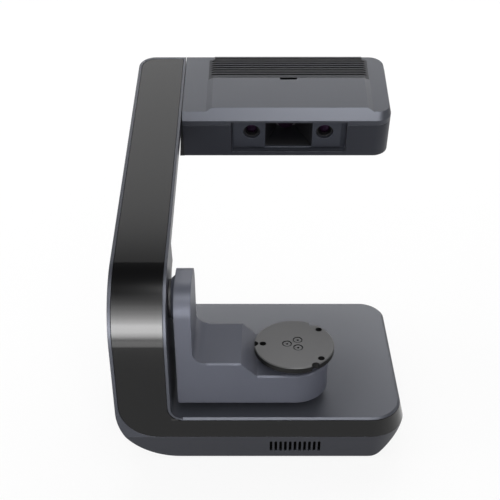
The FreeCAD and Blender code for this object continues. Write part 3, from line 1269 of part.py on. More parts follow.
pin_ways = [rod("pin_way_%d" % number, "X", x, "vent_axis", "-vent_axis_w",
                "pin_radius + running_gap")
            for number, x in enumerate((("vent_left - 3.8", "vent_left + 1"),
                                        ("vent_right - 1", "vent_right + 3.8")))]
head_bosses = [rod("head_boss_%d" % number, "Z", x, y, ("shell_wall - head_height + 0.1",
                                                       "-shell_wall + 0.5"), "3.5")
               for number, (x, y) in enumerate(HEAD_BOSSES)]
head_pilots = [rod("head_pilot_%d" % number, "Z", x, y, ("-head_height - 1",
                                                        "14 - head_height"), "screw_radius")
               for number, (x, y) in enumerate(HEAD_BOSSES)]
neck_cut = deep("neck_cut", ("head_left - 1", "head_left + shell_wall + 1"),
                ("beam_front - 1.5", "beam_front + beam_depth + 1.5"),
                ("neck_drop - 1.5", "neck_drop + neck_height + 1.5"))
window_cut = deep("window_cut", ("-window_left", "window_right"),
                  ("head_front - 1", "bezel_front + 1"), ("window_top", "window_bottom"))
panel_cut = cut("panel_shaped", panel_top, nose_cut)
keep(cut("head_top_cover",
         join("lid_whole", lid_shell, panel_cut, ledge, *(cheeks + head_bosses)),
         vent_hole, vent_step, finger, window_cut, neck_cut, *(pin_ways + head_pilots)), arm=True)

case = cut("case_shell", head_lower("case_block", "0", "head_seam + seam_gap / 2"),
           head_lower("case_cavity", "shell_wall", "head_seam - 1"))
case_ways = [rod("case_way_%d" % number, "Z", x, y, ("-head_height - 1", "4 - head_height"),
                 "screw_radius + 0.2") for number, (x, y) in enumerate(HEAD_BOSSES)]
grille = [deep("case_slot_%d" % number, ("%d" % x, "%d" % (x + 4)),
               ("arm_length - 60", "arm_length - 32"), ("head_height - 3", "head_height + 1"))
          for number, x in enumerate(range(0, 66, 8))]
keep(cut("head_lower_case", case, neck_cut, deep("window_cut_low",
                                                 ("-window_left", "window_right"),
                                                 ("head_front - 1", "bezel_front + 1"),
                                                 ("window_top", "window_bottom")),
         *(case_ways + grille)), arm=True)
keep(group("head_screws", [screw("head_screw_%d" % number, x, y, "-head_height", -1, "12")
                           for number, (x, y) in enumerate(HEAD_BOSSES)]), arm=True)

vent_hood = prism("vent_hood", "XZ", [
    ("panel_slope * vent_gap / panel_rise - panel_left", "vent_gap"),
    ("vent_left + vent_gap", "vent_gap"), ("vent_left + vent_gap", "panel_rise - vent_plate"),
    ("vent_right - vent_gap", "panel_rise - vent_plate"), ("vent_right - vent_gap", "vent_gap"),
    ("panel_right - panel_slope * vent_gap / panel_rise", "vent_gap"),
    ("panel_right - panel_slope", "panel_rise"), ("panel_slope - panel_left", "panel_rise")],
    "vent_front", "vent_axis - 2")
vent_flat = box("vent_flat", ("vent_left + vent_gap", "vent_right - vent_gap"),
                ("vent_axis - 3", "vent_axis"), ("panel_rise - vent_plate", "panel_rise"))
barrel = rod("vent_barrel_rod", "X", ("vent_left + vent_gap", "vent_right - vent_gap"),
             "vent_axis", "-vent_axis_w", "vent_barrel")
openings = []
for number in range(int(size("slat_count"))):
    start = "vent_front + slat_start + %d * slat_pitch" % number
    span = (start, "%s + slat_pitch - slat_width" % start)
    openings.append(box("vent_slot_%d" % number,
                        ("vent_left + slat_margin", "vent_right - slat_margin"), span,
                        ("-4", "panel_rise + 1")))
    openings.append(box("vent_groove_%d" % number, ("-panel_left", "panel_right"), span,
                        ("slat_groove", "panel_rise + 1")))
pin_core = rod("vent_pin_core", "X", ("vent_left", "vent_right"), "vent_axis",
               "-vent_axis_w", "pin_radius")
keep(cut("vent_cover", join("vent_solid", vent_hood, vent_flat, barrel), pin_core, *openings),
     arm=True)
keep(group("vent_pin", [rod("vent_pin_rod", "X", ("vent_left - 3.5", "vent_right + 3.5"),
                            "vent_axis", "-vent_axis_w", "pin_radius")]), arm=True)

# ---------------------------------------------------------------- optics of the head

bezel = deep("bezel_block", ("-window_left - bezel_rim", "window_right + bezel_rim"),
             ("bezel_front", "bezel_back"),
             ("window_top - bezel_rim", "window_bottom + bezel_rim"))
recess = deep("bezel_recess", ("-window_left", "window_right"),
              ("bezel_front - 1", "bezel_floor"), ("window_top", "window_bottom"))
pads = [deep("pad_%d" % number, x, ("bezel_floor - pad_rise", "bezel_floor + 1"),
             ("window_top", "pad_bottom"))
        for number, x in enumerate((("-left_pad", "projector_left"),
                                    ("projector_right", "right_pad")))]
hood_way = deep("hood_way", ("projector_left", "projector_right"),
                ("bezel_front - 1", "bezel_back + 1"), ("window_top", "projector_bottom"))
bores = [rod("camera_bore_%d" % number, "Y", x, ("bezel_front - 1", "bezel_back + 1"),
             "-camera_drop", "lens_bore")
         for number, x in enumerate(("left_camera", "right_camera"))]
bezel_frame = cut("bezel_frame", bezel, recess)
keep(cut("window_bezel", join("bezel_padded", bezel_frame, *pads), hood_way, *bores), arm=True)


def wedge(name, front, back, low, high, grow):
    """A frustum along the arm between two rectangles (left, right, top, bottom)."""
    piece = doc.addObject("Part::Wedge", name)
    return bind(piece, Ymin=low, Ymax=high,
                Xmin="%s - (%s)" % (front[0], grow), Xmax="%s + (%s)" % (front[1], grow),
                Zmin="-(%s) - (%s)" % (front[3], grow), Zmax="-(%s) + (%s)" % (front[2], grow),
                X2min="%s - (%s)" % (back[0], grow), X2max="%s + (%s)" % (back[1], grow),
                Z2min="-(%s) - (%s)" % (back[3], grow), Z2max="-(%s) + (%s)" % (back[2], grow))


mouth = ("projector_left", "projector_right", "window_top", "projector_bottom")
throat = ("throat_left", "throat_right", "projector_bottom - throat_height",
          "projector_bottom")
keep(cut("projector_hood",
         wedge("hood_outer", mouth, throat, "bezel_back", "hood_end", "hood_wall"),
         wedge("hood_inner", mouth, throat, "bezel_back", "hood_end", "0")), arm=True)
for number, (side_name, x) in enumerate((("left", "left_camera"), ("right", "right_camera"))):
    half = "camera_size / 2"
    back = "optics_place"
    body = deep("camera_body_" + side_name, ("%s - %s" % (x, half), "%s + %s" % (x, half)),
                ("%s - camera_length" % back, back), ("camera_drop - %s" % half,
                                                      "camera_drop + %s" % half))
    tube = rod("camera_tube_" + side_name, "Y", x, ("bezel_floor - 1",
                                                    "%s - camera_length" % back),
               "-camera_drop", "barrel_radius")
    bore = rod("camera_hollow_" + side_name, "Y", x, ("bezel_floor - 2",
                                                      "%s - camera_length + 4" % back),
               "-camera_drop", "lens_radius")
    keep(cut("camera_" + side_name, join("camera_blank_" + side_name, body, tube), bore),
         arm=True)
    glass = rod("lens_rod_" + side_name, "Y", x, ("bezel_floor - 2",
                                                  "%s - camera_length + 4" % back),
                "-camera_drop", "lens_radius")
    ball = doc.addObject("Part::Sphere", "lens_ball_" + side_name)
    bind(ball, Radius="lens_curve", Placement__Base__x=x,
         Placement__Base__y="bezel_floor + 2 + lens_curve", Placement__Base__z="-camera_drop")
    keep(overlap("camera_lens_" + side_name, glass, ball), arm=True)

lens_low = "hood_end - 6"
keep(group("projector_lens", [rod("projector_glass", "Y", "hood_middle",
                                  (lens_low, "hood_end + 0.2"), "-throat_middle", "9")]),
     arm=True)
engine = deep("engine_block", ("hood_middle - engine_width / 2",
                               "hood_middle + engine_width / 2"),
              ("hood_end + 0.2", "hood_end + 0.2 + engine_length"), ("15.5", "49.5"))
keep(group("projector_engine", [engine]), arm=True)

plate = deep("optics_sheet", ("-optics_left", "optics_right"),
             ("optics_place", "optics_place + optics_plate"), ("9", "beam_bottom"))
webs = [deep("optics_web_%d" % number, x, ("optics_place", "beam_front"),
             ("beam_top - 6", "beam_bottom"))
        for number, x in enumerate((("-optics_left", "optics_plate - optics_left"),
                                    ("optics_right - optics_plate", "optics_right")))]
optics_way = deep("optics_way", ("6", "59"), ("optics_place - 1",
                                            "optics_place + optics_plate + 1"),
                  ("8", "projector_bottom + 2"))
keep(cut("optics_bracket", join("optics_blank", plate, *webs), optics_way), arm=True)

beam = deep("beam_bar", ("head_left + shell_wall + 1", "beam_right"),
            ("beam_front", "beam_front + beam_depth"), ("beam_top", "beam_bottom"))
beam_riser = deep("beam_riser", ("head_left + shell_wall + 1", "head_left + shell_wall + 9"),
                  ("beam_front", "beam_front + beam_depth"), ("neck_drop", "beam_bottom"))
beam_neck = deep("beam_neck", ("frame_right", "head_left + shell_wall + 9"),
                 ("beam_front", "beam_front + beam_depth"),
                 ("neck_drop", "neck_drop + neck_height"))
keep(join("head_beam", beam, beam_riser, beam_neck), arm=True)

spacer_foot = "(head_height - 1)"
spacer = prism("spacer_block", "XZ", [
    ("arm_right + part_gap - arm_draft * spacer_top / arm_thickness", "-spacer_top"),
    ("arm_right + part_gap - arm_draft * %s / arm_thickness" % spacer_foot, "-%s" % spacer_foot),
    ("head_left", "-%s" % spacer_foot), ("head_left", "-spacer_top")],
    "head_front + spacer_setback", "arm_length - 1")
spacer_way = deep("spacer_way", ("arm_right - 8", "head_left + 1"),
                  ("beam_front - 1.5", "beam_front + beam_depth + 1.5"),
                  ("neck_drop - 1.5", "neck_drop + neck_height + 1.5"))
keep(cut("neck_spacer", spacer, spacer_way), arm=True)

sink_left = "hood_middle - 20"
sink = [deep("sink_base", (sink_left, "hood_middle + 20"),
             ("hood_end + 0.2 + engine_length", "hood_end + 3.2 + engine_length"),
             ("16", "beam_top - 1.5"))]
for number in range(int(size("fin_count"))):
    start = "%s + %d * (40 - 1.4) / (fin_count - 1)" % (sink_left, number)
    sink.append(deep("sink_fin_%d" % number, (start, "%s + 1.4" % start),
                     ("hood_end + 3 + engine_length", "arm_length - 5"),
                     ("17", "beam_top - 1.5")))
keep(join("heat_sink", *sink), arm=True)

half = "fan_size / 2"
fan_low = "-fan_drop - fan_thickness"
frame = box("fan_block", ("hood_middle - %s" % half, "hood_middle + %s" % half),
            ("fan_place - %s" % half, "fan_place + %s" % half), (fan_low, "-fan_drop"))
duct = rod("fan_duct", "Z", "hood_middle", "fan_place", ("%s - 1" % fan_low, "1 - fan_drop"),
           "%s - 1.5" % half)
spokes = [box("fan_spoke_x", ("hood_middle - %s" % half, "hood_middle + %s" % half),
              ("fan_place - 1.2", "fan_place + 1.2"), (fan_low, "%s + 1.2" % fan_low)),
          box("fan_spoke_y", ("hood_middle - 1.2", "hood_middle + 1.2"),
              ("fan_place - %s" % half, "fan_place + %s" % half),
              (fan_low, "%s + 1.2" % fan_low)),
          rod("fan_motor", "Z", "hood_middle", "fan_place", (fan_low, "%s + 2" % fan_low),
              "fan_hub")]
fan_bore = rod("fan_bore", "Z", "hood_middle", "fan_place", ("%s - 1" % fan_low, "0"),
               "motor_shaft / 2 + running_gap")
keep(cut("fan_frame", join("fan_solid", cut("fan_ring", frame, duct), *spokes), fan_bore),
     arm=True)
rotor_low = "%s + 2.5" % fan_low
blades = []
for number in range(int(size("fan_blades"))):
    blade = doc.addObject("Part::Box", "blade_%d" % number)
    turn = Rotation(Vector(0, 0, 1), 360 / size("fan_blades") * number)
    pitch = Rotation(Vector(1, 0, 0), 32)
    blade.Placement = Placement(Vector(), turn * pitch)
    bind(blade, Length="fan_size / 2 - 2.2", Width="5", Height="1",
         Placement__Base__x="hood_middle", Placement__Base__y="fan_place",
         Placement__Base__z="%s + 0.6" % rotor_low)
    blades.append(blade)
keep(join("fan_rotor", rod("rotor_hub", "Z", "hood_middle", "fan_place",
                           (rotor_low, "-fan_drop - 0.5"), "fan_hub"),
          rod("rotor_axle", "Z", "hood_middle", "fan_place",
              ("%s + 0.3" % fan_low, "%s + 1" % rotor_low), "motor_shaft / 2"), *blades),
     arm=True)

head_board = deep("head_board_plate", ("62", "104"), ("head_front + 45", "beam_front - 3"),
                  ("22", "22 + board_thickness"))
head_chips = [deep("head_chip_%d" % number, x, y, ("20.4", "22"))
              for number, (x, y) in enumerate([
                  (("68", "82"), ("head_front + 51", "head_front + 65")),
                  (("88", "98"), ("head_front + 49", "head_front + 59"))])]
head_posts = [rod("head_post_%d" % number, "Z", x, y,
                  ("shell_wall - head_height", "-22 - board_thickness"), "2.5")
              for number, (x, y) in enumerate([("68", "beam_front - 10"),
                                               ("98", "beam_front - 10")])]
keep(join("head_board", head_board, *(head_chips + head_posts)), arm=True)

# ---------------------------------------------------------------- check and write

doc.recompute()
faults = [item.Name for item in doc.Objects
          if any(word in item.State for word in ("Invalid", "Error"))]
for piece in PARTS:
    if piece.Shape.isNull() or not piece.Shape.isValid() or not piece.Shape.Solids:
        faults.append(piece.Label)
if faults:
    raise SystemExit("failed: " + ", ".join(faults))
os.makedirs("parts", exist_ok=True)
total = FreeCAD.BoundBox()
for piece in PARTS:
    piece.Shape.exportStep("parts/%s.step" % piece.Label)
    total.add(piece.Shape.BoundBox)
    print("%-24s %d solid, %9.1f mm3" % (piece.Label, len(piece.Shape.Solids),
                                        piece.Shape.Volume))
print(len(PARTS), "pieces,", "%.1f x %.1f x %.1f mm" % (total.XLength, total.YLength,
                                                       total.ZLength))
print("X %.2f %.2f  Y %.2f %.2f  Z %.2f %.2f" % (total.XMin, total.XMax, total.YMin,
                                                 total.YMax, total.ZMin, total.ZMax))
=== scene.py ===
# %% [markdown]
# # A desktop 3D scanner
# The scanner stands on a rounded base. A black arm rises at the left, bends over at the knee and carries a flat
# measuring head above a turntable. The turntable sits in a cradle that swings on the foot of the arm.
# The measured model is loaded first and stays as it is. Each of its nodes comes with a plain material. Those
# names are noted, because they say which finish a node gets, and the plain materials are cleared away.

# %% Load the measured model
import math

import bmesh
import bpy
from mathutils import Matrix, Vector


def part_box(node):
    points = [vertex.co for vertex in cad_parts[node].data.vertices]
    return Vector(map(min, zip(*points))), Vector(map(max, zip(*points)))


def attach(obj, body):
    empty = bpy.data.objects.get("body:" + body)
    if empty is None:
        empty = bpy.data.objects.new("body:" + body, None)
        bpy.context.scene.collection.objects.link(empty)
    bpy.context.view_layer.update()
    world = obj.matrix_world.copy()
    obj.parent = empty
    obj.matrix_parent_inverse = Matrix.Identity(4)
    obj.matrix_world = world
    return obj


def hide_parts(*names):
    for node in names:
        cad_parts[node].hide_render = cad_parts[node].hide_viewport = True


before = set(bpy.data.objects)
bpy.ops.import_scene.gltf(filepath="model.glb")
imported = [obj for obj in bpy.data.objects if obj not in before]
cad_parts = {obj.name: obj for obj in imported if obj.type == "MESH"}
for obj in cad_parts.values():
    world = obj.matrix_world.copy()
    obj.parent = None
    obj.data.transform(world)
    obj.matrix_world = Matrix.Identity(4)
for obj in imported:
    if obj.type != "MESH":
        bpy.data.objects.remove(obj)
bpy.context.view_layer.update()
MM = 0.001                      # one millimetre in Blender's metres
SLOTS = {name: [s.material.name for s in node.material_slots] for name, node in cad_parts.items()}
for plain in list(bpy.data.materials):
    bpy.data.materials.remove(plain)

# %% [markdown]
# The camera looks down at the scanner from the front, as one does at a desk. A long lens keeps the base and the
# head close to their true proportions. A constraint could aim the camera, but a place, a tilt and a lens in
# plain numbers can be set again at any time. The small shift slides the frame sideways and bends no line.

# %% The camera
CAMERA_AT = (-0.00475, -0.84527, 0.6340)
CAMERA_DOWN = 30.8              # degrees below the horizon
RENDER_WIDTH = 500              # pixels
FOCAL_PIXELS = 923              # focal length in the same pixels
SHIFT_PIXELS = -8
SENSOR = 36.0                   # width of the sensor in millimetres

camera_data = bpy.data.cameras.new("studio_camera")
camera_data.sensor_width = SENSOR
camera_data.lens = SENSOR * FOCAL_PIXELS / RENDER_WIDTH
camera_data.shift_x = SHIFT_PIXELS / RENDER_WIDTH
camera = bpy.data.objects.new("studio_camera", camera_data)
camera.location = CAMERA_AT
camera.rotation_euler = (math.radians(90 - CAMERA_DOWN), 0, 0)
bpy.context.scene.collection.objects.link(camera)
bpy.context.scene.camera = camera
bpy.context.scene.view_settings.view_transform = "Standard"
print("lens:", round(camera_data.lens, 2), "mm")

# %% [markdown]
# Helpers for node trees come next, because the room, the floor and every finish need them. The first adds a
# node, sets its inputs by name and hands it back, so that a material reads as a short list of steps. The others
# do sums, carry a value from one range to another, and tell the rays that show a thing from those that only
# carry its light.

# %% Helpers for shader nodes
def add(tree, kind, *links, **inputs):
    """A new node. links are (input, output socket) pairs, inputs are plain values."""
    node = tree.nodes.new(kind)
    for name, value in inputs.items():
        node.inputs[name.replace("_", " ")].default_value = value
    for name, source in links:
        tree.links.new(source, node.inputs[name])
    return node


def maths(tree, operation, first, second=0.0):
    """The result of a Math node on one or two values, each a number or a socket."""
    node = tree.nodes.new("ShaderNodeMath")
    node.operation = operation
    for slot, value in enumerate((first, second)):
        if isinstance(value, (int, float)):
            node.inputs[slot].default_value = value
        else:
            tree.links.new(value, node.inputs[slot])
    return node.outputs[0]


def spread(tree, value, low, high, least, most=1.0):
    """A value between low and high, carried over to the range from least to most."""
    carried = add(tree, "ShaderNodeMapRange", ("Value", value), From_Min=low, From_Max=high, To_Min=least,
                  To_Max=most)
    return carried.outputs["Result"]


def shown(tree):
    """One for a ray that shows, mirrors or looks through to a thing, and nought for any other ray."""
    path = add(tree, "ShaderNodeLightPath")
    seen_or_mirrored = maths(tree, "MAXIMUM", path.outputs["Is Camera Ray"], path.outputs["Is Glossy Ray"])
    return maths(tree, "MAXIMUM", seen_or_mirrored, path.outputs["Is Transmission Ray"])


# %% [markdown]
# The studio is a pale sweep: white from the floor to well above the horizon, and dark overhead. Camera, glossy
# and transmitted rays see that room, so gloss mirrors the same white that stands behind the scanner. Diffuse
# rays get an even, dim fill instead, so that the lamps shape the object. A panorama could light it as well, but
# a colour ramp on the height of each ray says the same in a few numbers.

# %% The room
WHITE_TO, DARK_FROM = 0.50, 0.78            # heights on a ball round the scanner, where 1 is straight up
OVERHEAD_GREY = (0.12, 0.12, 0.125, 1)
FILL = 0.38                                 # strength of the even light on diffuse surfaces

world = bpy.data.worlds.new("studio_room")
bpy.context.scene.world = world
world.use_nodes = True
room = world.node_tree
room.nodes.clear()
direction = add(room, "ShaderNodeTexCoord")
height = add(room, "ShaderNodeSeparateXYZ", ("Vector", direction.outputs["Generated"]))
sweep = add(room, "ShaderNodeValToRGB", ("Fac", height.outputs["Z"]))
pale, dark = sweep.color_ramp.elements
pale.position, pale.color = WHITE_TO, (1, 1, 1, 1)
dark.position, dark.color = DARK_FROM, OVERHEAD_GREY
seen = add(room, "ShaderNodeBackground", ("Color", sweep.outputs["Color"]), Strength=1.0)
fill = add(room, "ShaderNodeBackground", Color=(1, 1, 1, 1), Strength=FILL)
mix = add(room, "ShaderNodeMixShader", ("Fac", shown(room)))
room.links.new(fill.outputs[0], mix.inputs[1])
room.links.new(seen.outputs[0], mix.inputs[2])
add(room, "ShaderNodeOutputWorld", ("Surface", mix.outputs[0]))
print("room: white up to", round(math.degrees(math.asin(WHITE_TO))), "degrees above the horizon, dark from",
      round(math.degrees(math.asin(DARK_FROM))))

# %% [markdown]
# Two large soft boxes behind the scanner lie as long sheens on its flat tops, which is how a studio shows the
# form of dark plastic. Area lamps are used, because their size sets how soft a shadow is and how wide a sheen.
# The helper turns a lamp to its target and hides it from the camera. It can also hide a lamp from diffuse or
# from glossy rays. The first kind draws a reflection only, and the second lifts the shadows without a highlight.

# %% Soft boxes behind
def soft_box(name, place, target, width, depth, power, diffuse=True, glossy=True):
    """A rectangular lamp that faces its target, in metres and watts."""
    lamp = bpy.data.lights.new(name, "AREA")
    lamp.shape, lamp.size, lamp.size_y, lamp.energy = "RECTANGLE", width, depth, power
    lit = bpy.data.objects.new(name, lamp)
    lit.location = place
    lit.rotation_euler = (Vector(target) - Vector(place)).to_track_quat("-Z", "Y").to_euler()
    lit.visible_diffuse, lit.visible_glossy = diffuse, glossy
    lit.visible_camera = False
    bpy.context.scene.collection.objects.link(lit)


soft_box("back_box", (0, 1.16, 1.60), (0, 0, 0.15), 1.7, 0.95, 12)
soft_box("back_low", (0.1, 1.58, 0.98), (0, 0, 0.05), 1.9, 0.40, 17)

# %% [markdown]
# The gloss band bends over the knee, and in that bend it mirrors all that stands in front of the scanner. One
# lamp there would show as a white block with hard edges. So ten narrow lamps stand on each other, brightest low
# down and weaker with height, and their reflection fades softly towards the arm. A lamp's power spreads over its
# area, so each power is worked out from how bright the lamp's face has to look. Only glossy rays see these
# lamps, and they are narrow, so they leave the other surfaces alone.

# %% A graded column of light in front
STRIP_X, STRIP_Y, STRIP_WIDTH = -0.17, -0.52, 0.26      # metres
STRIPS = [(0.02, 9), (0.05, 16), (0.09, 22), (0.15, 23), (0.20, 15), (0.25, 10), (0.30, 6.5), (0.36, 4),
          (0.44, 2), (0.54, 1), (0.68, 0)]              # a strip's lower edge and brightness, and the column's top
for (low, brightness), (high, _) in zip(STRIPS, STRIPS[1:]):
    middle, tall = (low + high) / 2, high - low
    soft_box("front_strip_" + str(round(low * 100)), (STRIP_X, STRIP_Y, middle), (STRIP_X, 0, middle), STRIP_WIDTH,
             tall, brightness * math.pi * STRIP_WIDTH * tall, diffuse=False)
print("strips:", len(STRIPS) - 1, "up to", STRIPS[-1][0], "m")

# %% [markdown]
# The last lamps are single ones. A patch on the floor carries the bend's reflection down to the table, and a
# lamp high in front puts a sheen on the slopes that face forwards. Both are reflections only. The fill is the
# other kind: it lifts the dark fronts and makes no highlight. A weak lamp on each side draws the sides' edges.

# %% Lamps in front and at the sides
soft_box("front_floor", (-0.16, -0.45, 0.004), (-0.16, -0.45, 1), 0.26, 0.12, 0.46, diffuse=False)
soft_box("front_top", (0.26, -0.70, 1.25), (0.05, 0.1, 0.28), 0.7, 0.50, 44, diffuse=False)
soft_box("front_fill", (0.15, -1.40, 0.95), (0, 0, 0.1), 0.9, 0.6, 9, glossy=False)
soft_box("right_box", (1.5, 0.1, 0.8), (0, 0, 0.1), 0.5, 0.8, 1)
soft_box("left_box", (-1.3, -0.3, 0.45), (0, 0, 0.15), 0.7, 0.8, 7)

# %% [markdown]
# The floor is one large plane. It is nearly white for the rays that show it or mirror it, and it still takes the
# soft shadow of the scanner, because a share of its light comes through a plain diffuse surface. A floor that
# only glowed would be a clean white too, but the scanner would float on it.

# %% The floor
FLOOR_HALF = 30.0               # metres from the middle to each side
PAPER_TONE = 0.86
GLOW_SHARE = 0.88               # how much of what is seen is glow, and not lit paper

floor_mesh = bpy.data.meshes.new("studio_floor")
floor_mesh.from_pydata(
    [(x * FLOOR_HALF, y * FLOOR_HALF, 0) for x, y in ((-1, -1), (1, -1), (1, 1), (-1, 1))], [], [(0, 1, 2, 3)])
floor = bpy.data.objects.new("studio_floor", floor_mesh)
bpy.context.scene.collection.objects.link(floor)
paper = bpy.data.materials.new("studio_paper")
paper.use_nodes = True
ground = paper.node_tree
surface = ground.nodes["Principled BSDF"]
surface.inputs["Base Color"].default_value = (PAPER_TONE, PAPER_TONE, PAPER_TONE, 1)
surface.inputs["Roughness"].default_value = 0.9
surface.inputs["Specular IOR Level"].default_value = 0.0
glow = add(ground, "ShaderNodeEmission", Strength=1.0)
blend = add(ground, "ShaderNodeMixShader", ("Fac", maths(ground, "MULTIPLY", shown(ground), GLOW_SHARE)))
ground.links.new(surface.outputs["BSDF"], blend.inputs[1])
ground.links.new(glow.outputs["Emission"], blend.inputs[2])
ground.links.new(blend.outputs["Shader"], ground.nodes["Material Output"].inputs["Surface"])
floor_mesh.materials.append(paper)
print("floor:", 2 * FLOOR_HALF, "m across")

# %% [markdown]
# The machine's own places come next. Two corners of the measured model set its zero point, and the upper arm
# tilts by one angle, so a place on the head can be given as it is drawn: across, along the arm and down from
# the head's top face. The same two directions later aim the head's screws, its lens rings and one finish.

# %% Places on the machine
ROW_X, ROW_Y, KNEE_Z = -4.75, -183.574, 186.3           # millimetres
TILT = math.radians(15.6)
ALONG = Vector((0, math.cos(TILT), math.sin(TILT)))     # up the arm, away from the knee
DOWN = Vector((0, math.sin(TILT), -math.cos(TILT)))     # square into the head


def on_base(x, y, z):
    """A point of the base's drawing, in metres of the scene."""
    return Vector((x + ROW_X, y + ROW_Y, z)) * MM


def on_arm(x, along, down):
    """A point of the arm's drawing, in metres of the scene."""
    return on_base(x, 0, KNEE_Z) + (ALONG * along + DOWN * down) * MM


print("head's front edge:", [round(v, 4) for v in on_arm(0, 259.2, 0)])

# %% [markdown]
# Little light reaches the walls of slots and holes, so they lie in shade. The finish paints that shade in: it
# reads which way a face looks and where it stands, and takes the tone away from the walls in shade. Black
# materials behind the slots could show the shade, but here one node's faces are both open and deep, and its mesh
# stays as it is.

# %% Painted shade in slots and holes
def open_faces(tree, normal, way):
    """Full tone on the faces that look one way, and a painted shade with almost no tone on the rest."""
    likeness = tree.nodes.new("ShaderNodeVectorMath")
    likeness.operation = "DOT_PRODUCT"
    tree.links.new(normal, likeness.inputs[0])
    likeness.inputs[1].default_value = way
    return spread(tree, likeness.outputs["Value"], 0.5, 0.8, 0.06)


def outside_slots(tree, normal, where, reach):
    """Full tone, but a painted shade on the walls that look sideways and stand within reach of the middle."""
    looks = add(tree, "ShaderNodeSeparateXYZ", ("Vector", normal))
    stands = add(tree, "ShaderNodeSeparateXYZ", ("Vector", where))
    wall = maths(tree, "GREATER_THAN", maths(tree, "ABSOLUTE", looks.outputs["X"]), 0.6)
    near = maths(tree, "LESS_THAN", maths(tree, "ABSOLUTE", stands.outputs["X"]), reach)
    loss = maths(tree, "MULTIPLY", maths(tree, "MULTIPLY", wall, near), -0.95)
    return maths(tree, "ADD", loss, 1.0)


# %% [markdown]
# Moulded plastic is never one flat colour. The tool that forms it leaves a fine spark-eroded grain, and handling
# polishes it unevenly. A tight noise gives the grain as bump, and a wide noise moves the roughness and the tone
# a little. Both read Object coordinates, so the grain has its real size on every piece. A Bevel node eases the
# edges in the light only, because the measured meshes stay as they are.

# %% A finish of moulded plastic
CLOUD_SCALE = 14.0              # clouds of tone and polish, a few centimetres across


def moulded(name, colour, roughness, grain=0.00035, depth=0.00002, cloud=0.06, specular=0.5, edge=0.0004,
            facing=None, shaded_slot_reach=0.0):
    """A satin plastic. grain and depth are the size and the height of its texture and edge is the radius of its
    eased edges, in metres. cloud is how far tone and polish wander. Where facing is given, the faces that look
    other ways get a painted shade. Where a slot reach is given, slot walls nearer to the middle than that get one
    too."""
    finish = bpy.data.materials.new(name)
    finish.use_nodes = True
    tree = finish.node_tree
    surface = tree.nodes["Principled BSDF"]
    coordinates = add(tree, "ShaderNodeTexCoord")
    where, normal = coordinates.outputs["Object"], coordinates.outputs["Normal"]
    fine = add(tree, "ShaderNodeTexNoise", ("Vector", where), Scale=1 / grain, Detail=2.0)
    wide = add(tree, "ShaderNodeTexNoise", ("Vector", where), Scale=CLOUD_SCALE, Detail=3.0)
    wander = spread(tree, wide.outputs["Fac"], 0.3, 0.7, 1 - cloud, 1 + cloud)
    tone = wander
    # Painted shade: faces turned from the given way, and slot walls near the middle, lose most of their tone.
    if facing:
        tone = maths(tree, "MULTIPLY", tone, open_faces(tree, normal, facing))
    if shaded_slot_reach:
        tone = maths(tree, "MULTIPLY", tone, outside_slots(tree, normal, where, shaded_slot_reach))
    shade = add(tree, "ShaderNodeVectorMath")
    shade.operation = "SCALE"
    shade.inputs[0].default_value = colour
    tree.links.new(tone, shade.inputs["Scale"])
    tree.links.new(shade.outputs["Vector"], surface.inputs["Base Color"])
    tree.links.new(maths(tree, "MULTIPLY", wander, roughness), surface.inputs["Roughness"])
    bump = add(tree, "ShaderNodeBump", ("Height", fine.outputs["Fac"]), Strength=1.0, Distance=depth)
    if edge:
        eased_edge = add(tree, "ShaderNodeBevel", Radius=edge)
        eased_edge.samples = 4
        tree.links.new(eased_edge.outputs["Normal"], bump.inputs["Normal"])
    tree.links.new(bump.outputs["Normal"], surface.inputs["Normal"])
    surface.inputs["Specular IOR Level"].default_value = specular
    return finish


# %% [markdown]
# Four painted greys make the cases: the main shell, the lower cases, the cradle and the lens window. Their gloss
# is a little blue, which a tint on the specular colour gives. The lower cases' grey is a darker copy of the shell's
# grey, a painted shade on the lower fronts of the base and the head, and the walls of their slots near the middle
# get a painted shade as well. The louvred lid's slats keep their tone on top only, a painted shade on their sides
# that darkens the slots. The turntable's black disc has a painted lighter top, for the bright backdrop it mirrors,
# and a painted shade on its rim and in its holes. The band down the arm is polished black and has almost no grain.

# %% Finishes of the cases
shell_grey = moulded("shell_grey", (0.037, 0.039, 0.048), 0.40, cloud=0.04, specular=0.32, edge=0.0007)
# A darker copy of the shell's grey: a painted shade on the lower fronts, and painted shade on the slot walls.
shaded_lower_grey = moulded("shaded_lower_grey", (0.020, 0.021, 0.027), 0.42, cloud=0.04, specular=0.24, edge=0.0006,
                     shaded_slot_reach=0.1)
# The slats keep their tone on top only: a painted shade on their sides, in the slots between them.
shaded_slat_grey = moulded("shaded_slat_grey", (0.034, 0.035, 0.041), 0.45, cloud=0.04, specular=0.08, edge=0.00015,
                    facing=tuple(-DOWN))
cradle_grey = moulded("cradle_grey", (0.079, 0.083, 0.105), 0.44, cloud=0.04, specular=0.22, edge=0.0012)
window_grey = moulded("window_grey", (0.022, 0.024, 0.032), 0.42, specular=0.36, edge=0.0005)
piano_black = moulded("piano_black", (0.002, 0.002, 0.0022), 0.17, depth=0.0000003, cloud=0.03, specular=0.28,
                      edge=0)
# The disc's colour is a painted lighter top, for the backdrop it mirrors, and its rim and holes get painted shade.
disc_black = moulded("disc_black", (0.130, 0.130, 0.132), 0.34, depth=0.000004, specular=0.1, edge=0.00025,
                     facing=(0, 0, 1))
for painted in (shell_grey, shaded_lower_grey, window_grey, cradle_grey):
    painted.node_tree.nodes["Principled BSDF"].inputs["Specular Tint"].default_value = (0.84, 0.88, 1.0, 1)
print("case finishes:", len(bpy.data.materials) - 1)

# %% [markdown]
# The small parts have plainer plastics: the seams and sockets, the black screens, the lens rings, the feet, the
# boards and the belts. They use the same helper with other numbers. The screens and rings hardly mirror at all,
# so the openings look deep. The near-black screens are dark sheets that stand in for the shade inside the openings.

